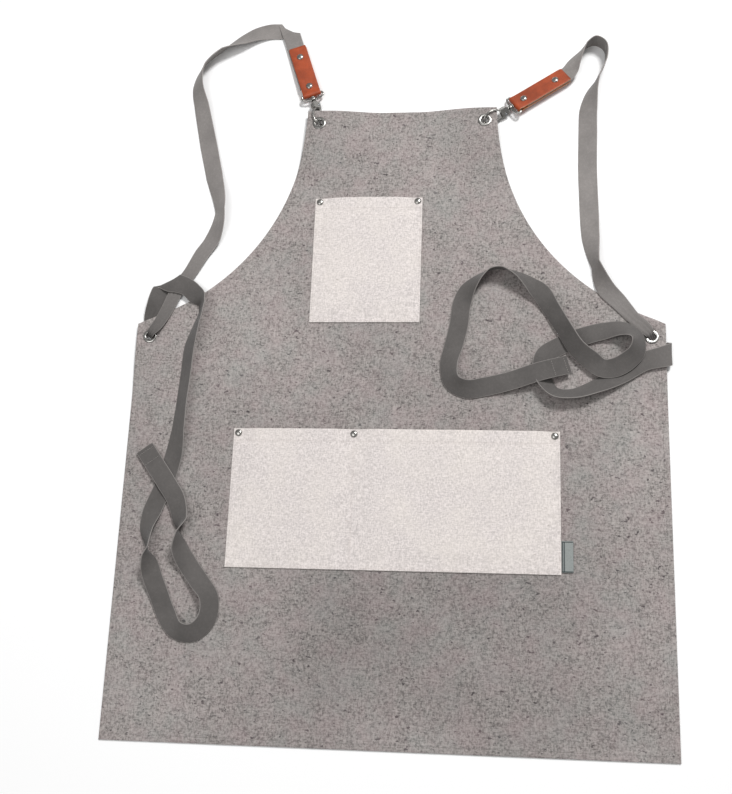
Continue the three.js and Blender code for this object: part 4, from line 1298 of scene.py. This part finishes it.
class APRON_OT_frame_fittings(bpy.types.Operator):
    """Finish the fittings that keep their frame shape: washers, rivet backs and pins"""
    bl_idname = "apron.frame_fittings"
    bl_label = "Washers, rivet backs and pins"

    def execute(self, context):
        for name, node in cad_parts.items():
            if node.hide_render:
                continue
            kind = "steel" if name.endswith("gate_pin") else "nickel"
            if not node.material_slots:
                node.data.materials.append(finish(kind))
            for each in node.material_slots:
                each.material = finish(kind)
        return {"FINISHED"}


# ---- floor, light and camera --------------------------------------------------------------------
KEY_PLACE, KEY_SIZE = (1.25, 1.9, 3.0), 0.95
FILL_PLACE, FILL_SIZE = (-0.8, -0.5, 2.3), 1.6
CAMERA_LENS, CAMERA_SENSOR = 51.24, 36
CAMERA_PLACE = (0.12788, -0.39480, 1.41242)
CAMERA_TURN = (
    (0.9938406, -0.00742994, 0.11056968),
    (0.03774514, 0.96078741, -0.27470505),
    (-0.10419291, 0.2771865, 0.95514998),
)


class APRON_OT_stage(bpy.types.Operator):
    """Set out the pale floor, the soft light and the camera"""
    bl_idname = "apron.stage"
    bl_label = "Floor, light and camera"

    def execute(self, context):
        stage = context.scene.apron_stage
        self.floor(stage)
        self.lights(stage)
        self.camera(context)
        return {"FINISHED"}

    def floor(self, stage):
        shape = bmesh.new()
        bmesh.ops.create_grid(shape, x_segments=8, y_segments=8, size=6)
        mesh = bpy.data.meshes.new("floor")
        shape.to_mesh(mesh)
        shape.free()
        floor = bpy.data.objects.new("floor", mesh)
        bpy.context.scene.collection.objects.link(floor)
        made = Finish("pale_floor", 0.9, specular=0.1)
        made.colour(tuple(stage.floor))
        mesh.materials.append(made.material)

    def lights(self, stage):
        def area(name, place, size, power):
            data = bpy.data.lights.new(name, "AREA")
            data.shape = "DISK"
            data.size = size
            data.energy = power
            lamp = bpy.data.objects.new(name, data)
            lamp.location = place
            lamp.rotation_euler = (-Vector(place)).to_track_quat("-Z", "Y").to_euler()
            bpy.context.scene.collection.objects.link(lamp)

        area("key_light", KEY_PLACE, KEY_SIZE, stage.key_power)
        area("fill_light", FILL_PLACE, FILL_SIZE, stage.fill_power)
        world = bpy.data.worlds.new("studio")
        bpy.context.scene.world = world
        world.use_nodes = True
        back = world.node_tree.nodes["Background"]
        back.inputs["Color"].default_value = (1, 1, 1, 1)
        back.inputs["Strength"].default_value = stage.sky

    def camera(self, context):
        data = bpy.data.cameras.new("camera")
        data.sensor_width = CAMERA_SENSOR
        data.lens = CAMERA_LENS
        data.clip_start, data.clip_end = 0.05, 40
        camera = bpy.data.objects.new("camera", data)
        bpy.context.scene.collection.objects.link(camera)
        camera.matrix_world = Matrix.Translation(CAMERA_PLACE) @ Matrix(CAMERA_TURN).to_4x4()
        context.scene.camera = camera
        context.scene.view_settings.view_transform = "Standard"


OPERATORS = (
    APRON_OT_panel,
    APRON_OT_pockets,
    APRON_OT_tag,
    APRON_OT_straps,
    APRON_OT_tabs,
    APRON_OT_hooks,
    APRON_OT_eyelets,
    APRON_OT_rivets,
    APRON_OT_frame_fittings,
    APRON_OT_stage,
)
SETTINGS = {
    "apron_cloth": ApronClothSettings,
    "apron_straps": ApronStrapSettings,
    "apron_metal": ApronMetalSettings,
    "apron_stage": ApronStageSettings,
}


class APRON_PT_sidebar(bpy.types.Panel):
    """The apron's pieces and their settings"""
    bl_idname = "APRON_PT_sidebar"
    bl_label = "Bib apron"
    bl_space_type = "VIEW_3D"
    bl_region_type = "UI"
    bl_category = "Apron"

    def draw(self, context):
        layout = self.layout
        for operator in OPERATORS:
            layout.operator(operator.bl_idname)
        for key, group in SETTINGS.items():
            box = layout.box()
            for name in group.__annotations__:
                box.prop(getattr(context.scene, key), name)


def register():
    for group in SETTINGS.values():
        bpy.utils.register_class(group)
    for operator in OPERATORS:
        bpy.utils.register_class(operator)
    bpy.utils.register_class(APRON_PT_sidebar)
    for key, group in SETTINGS.items():
        setattr(bpy.types.Scene, key, PointerProperty(type=group))


def unregister():
    for key in SETTINGS:
        delattr(bpy.types.Scene, key)
    bpy.utils.unregister_class(APRON_PT_sidebar)
    for kind in (*reversed(OPERATORS), *reversed(tuple(SETTINGS.values()))):
        bpy.utils.unregister_class(kind)


def main():
    register()
    for operator in OPERATORS:
        group, call = operator.bl_idname.split(".")
        getattr(getattr(bpy.ops, group), call)()


if __name__ == "__main__":
    main()
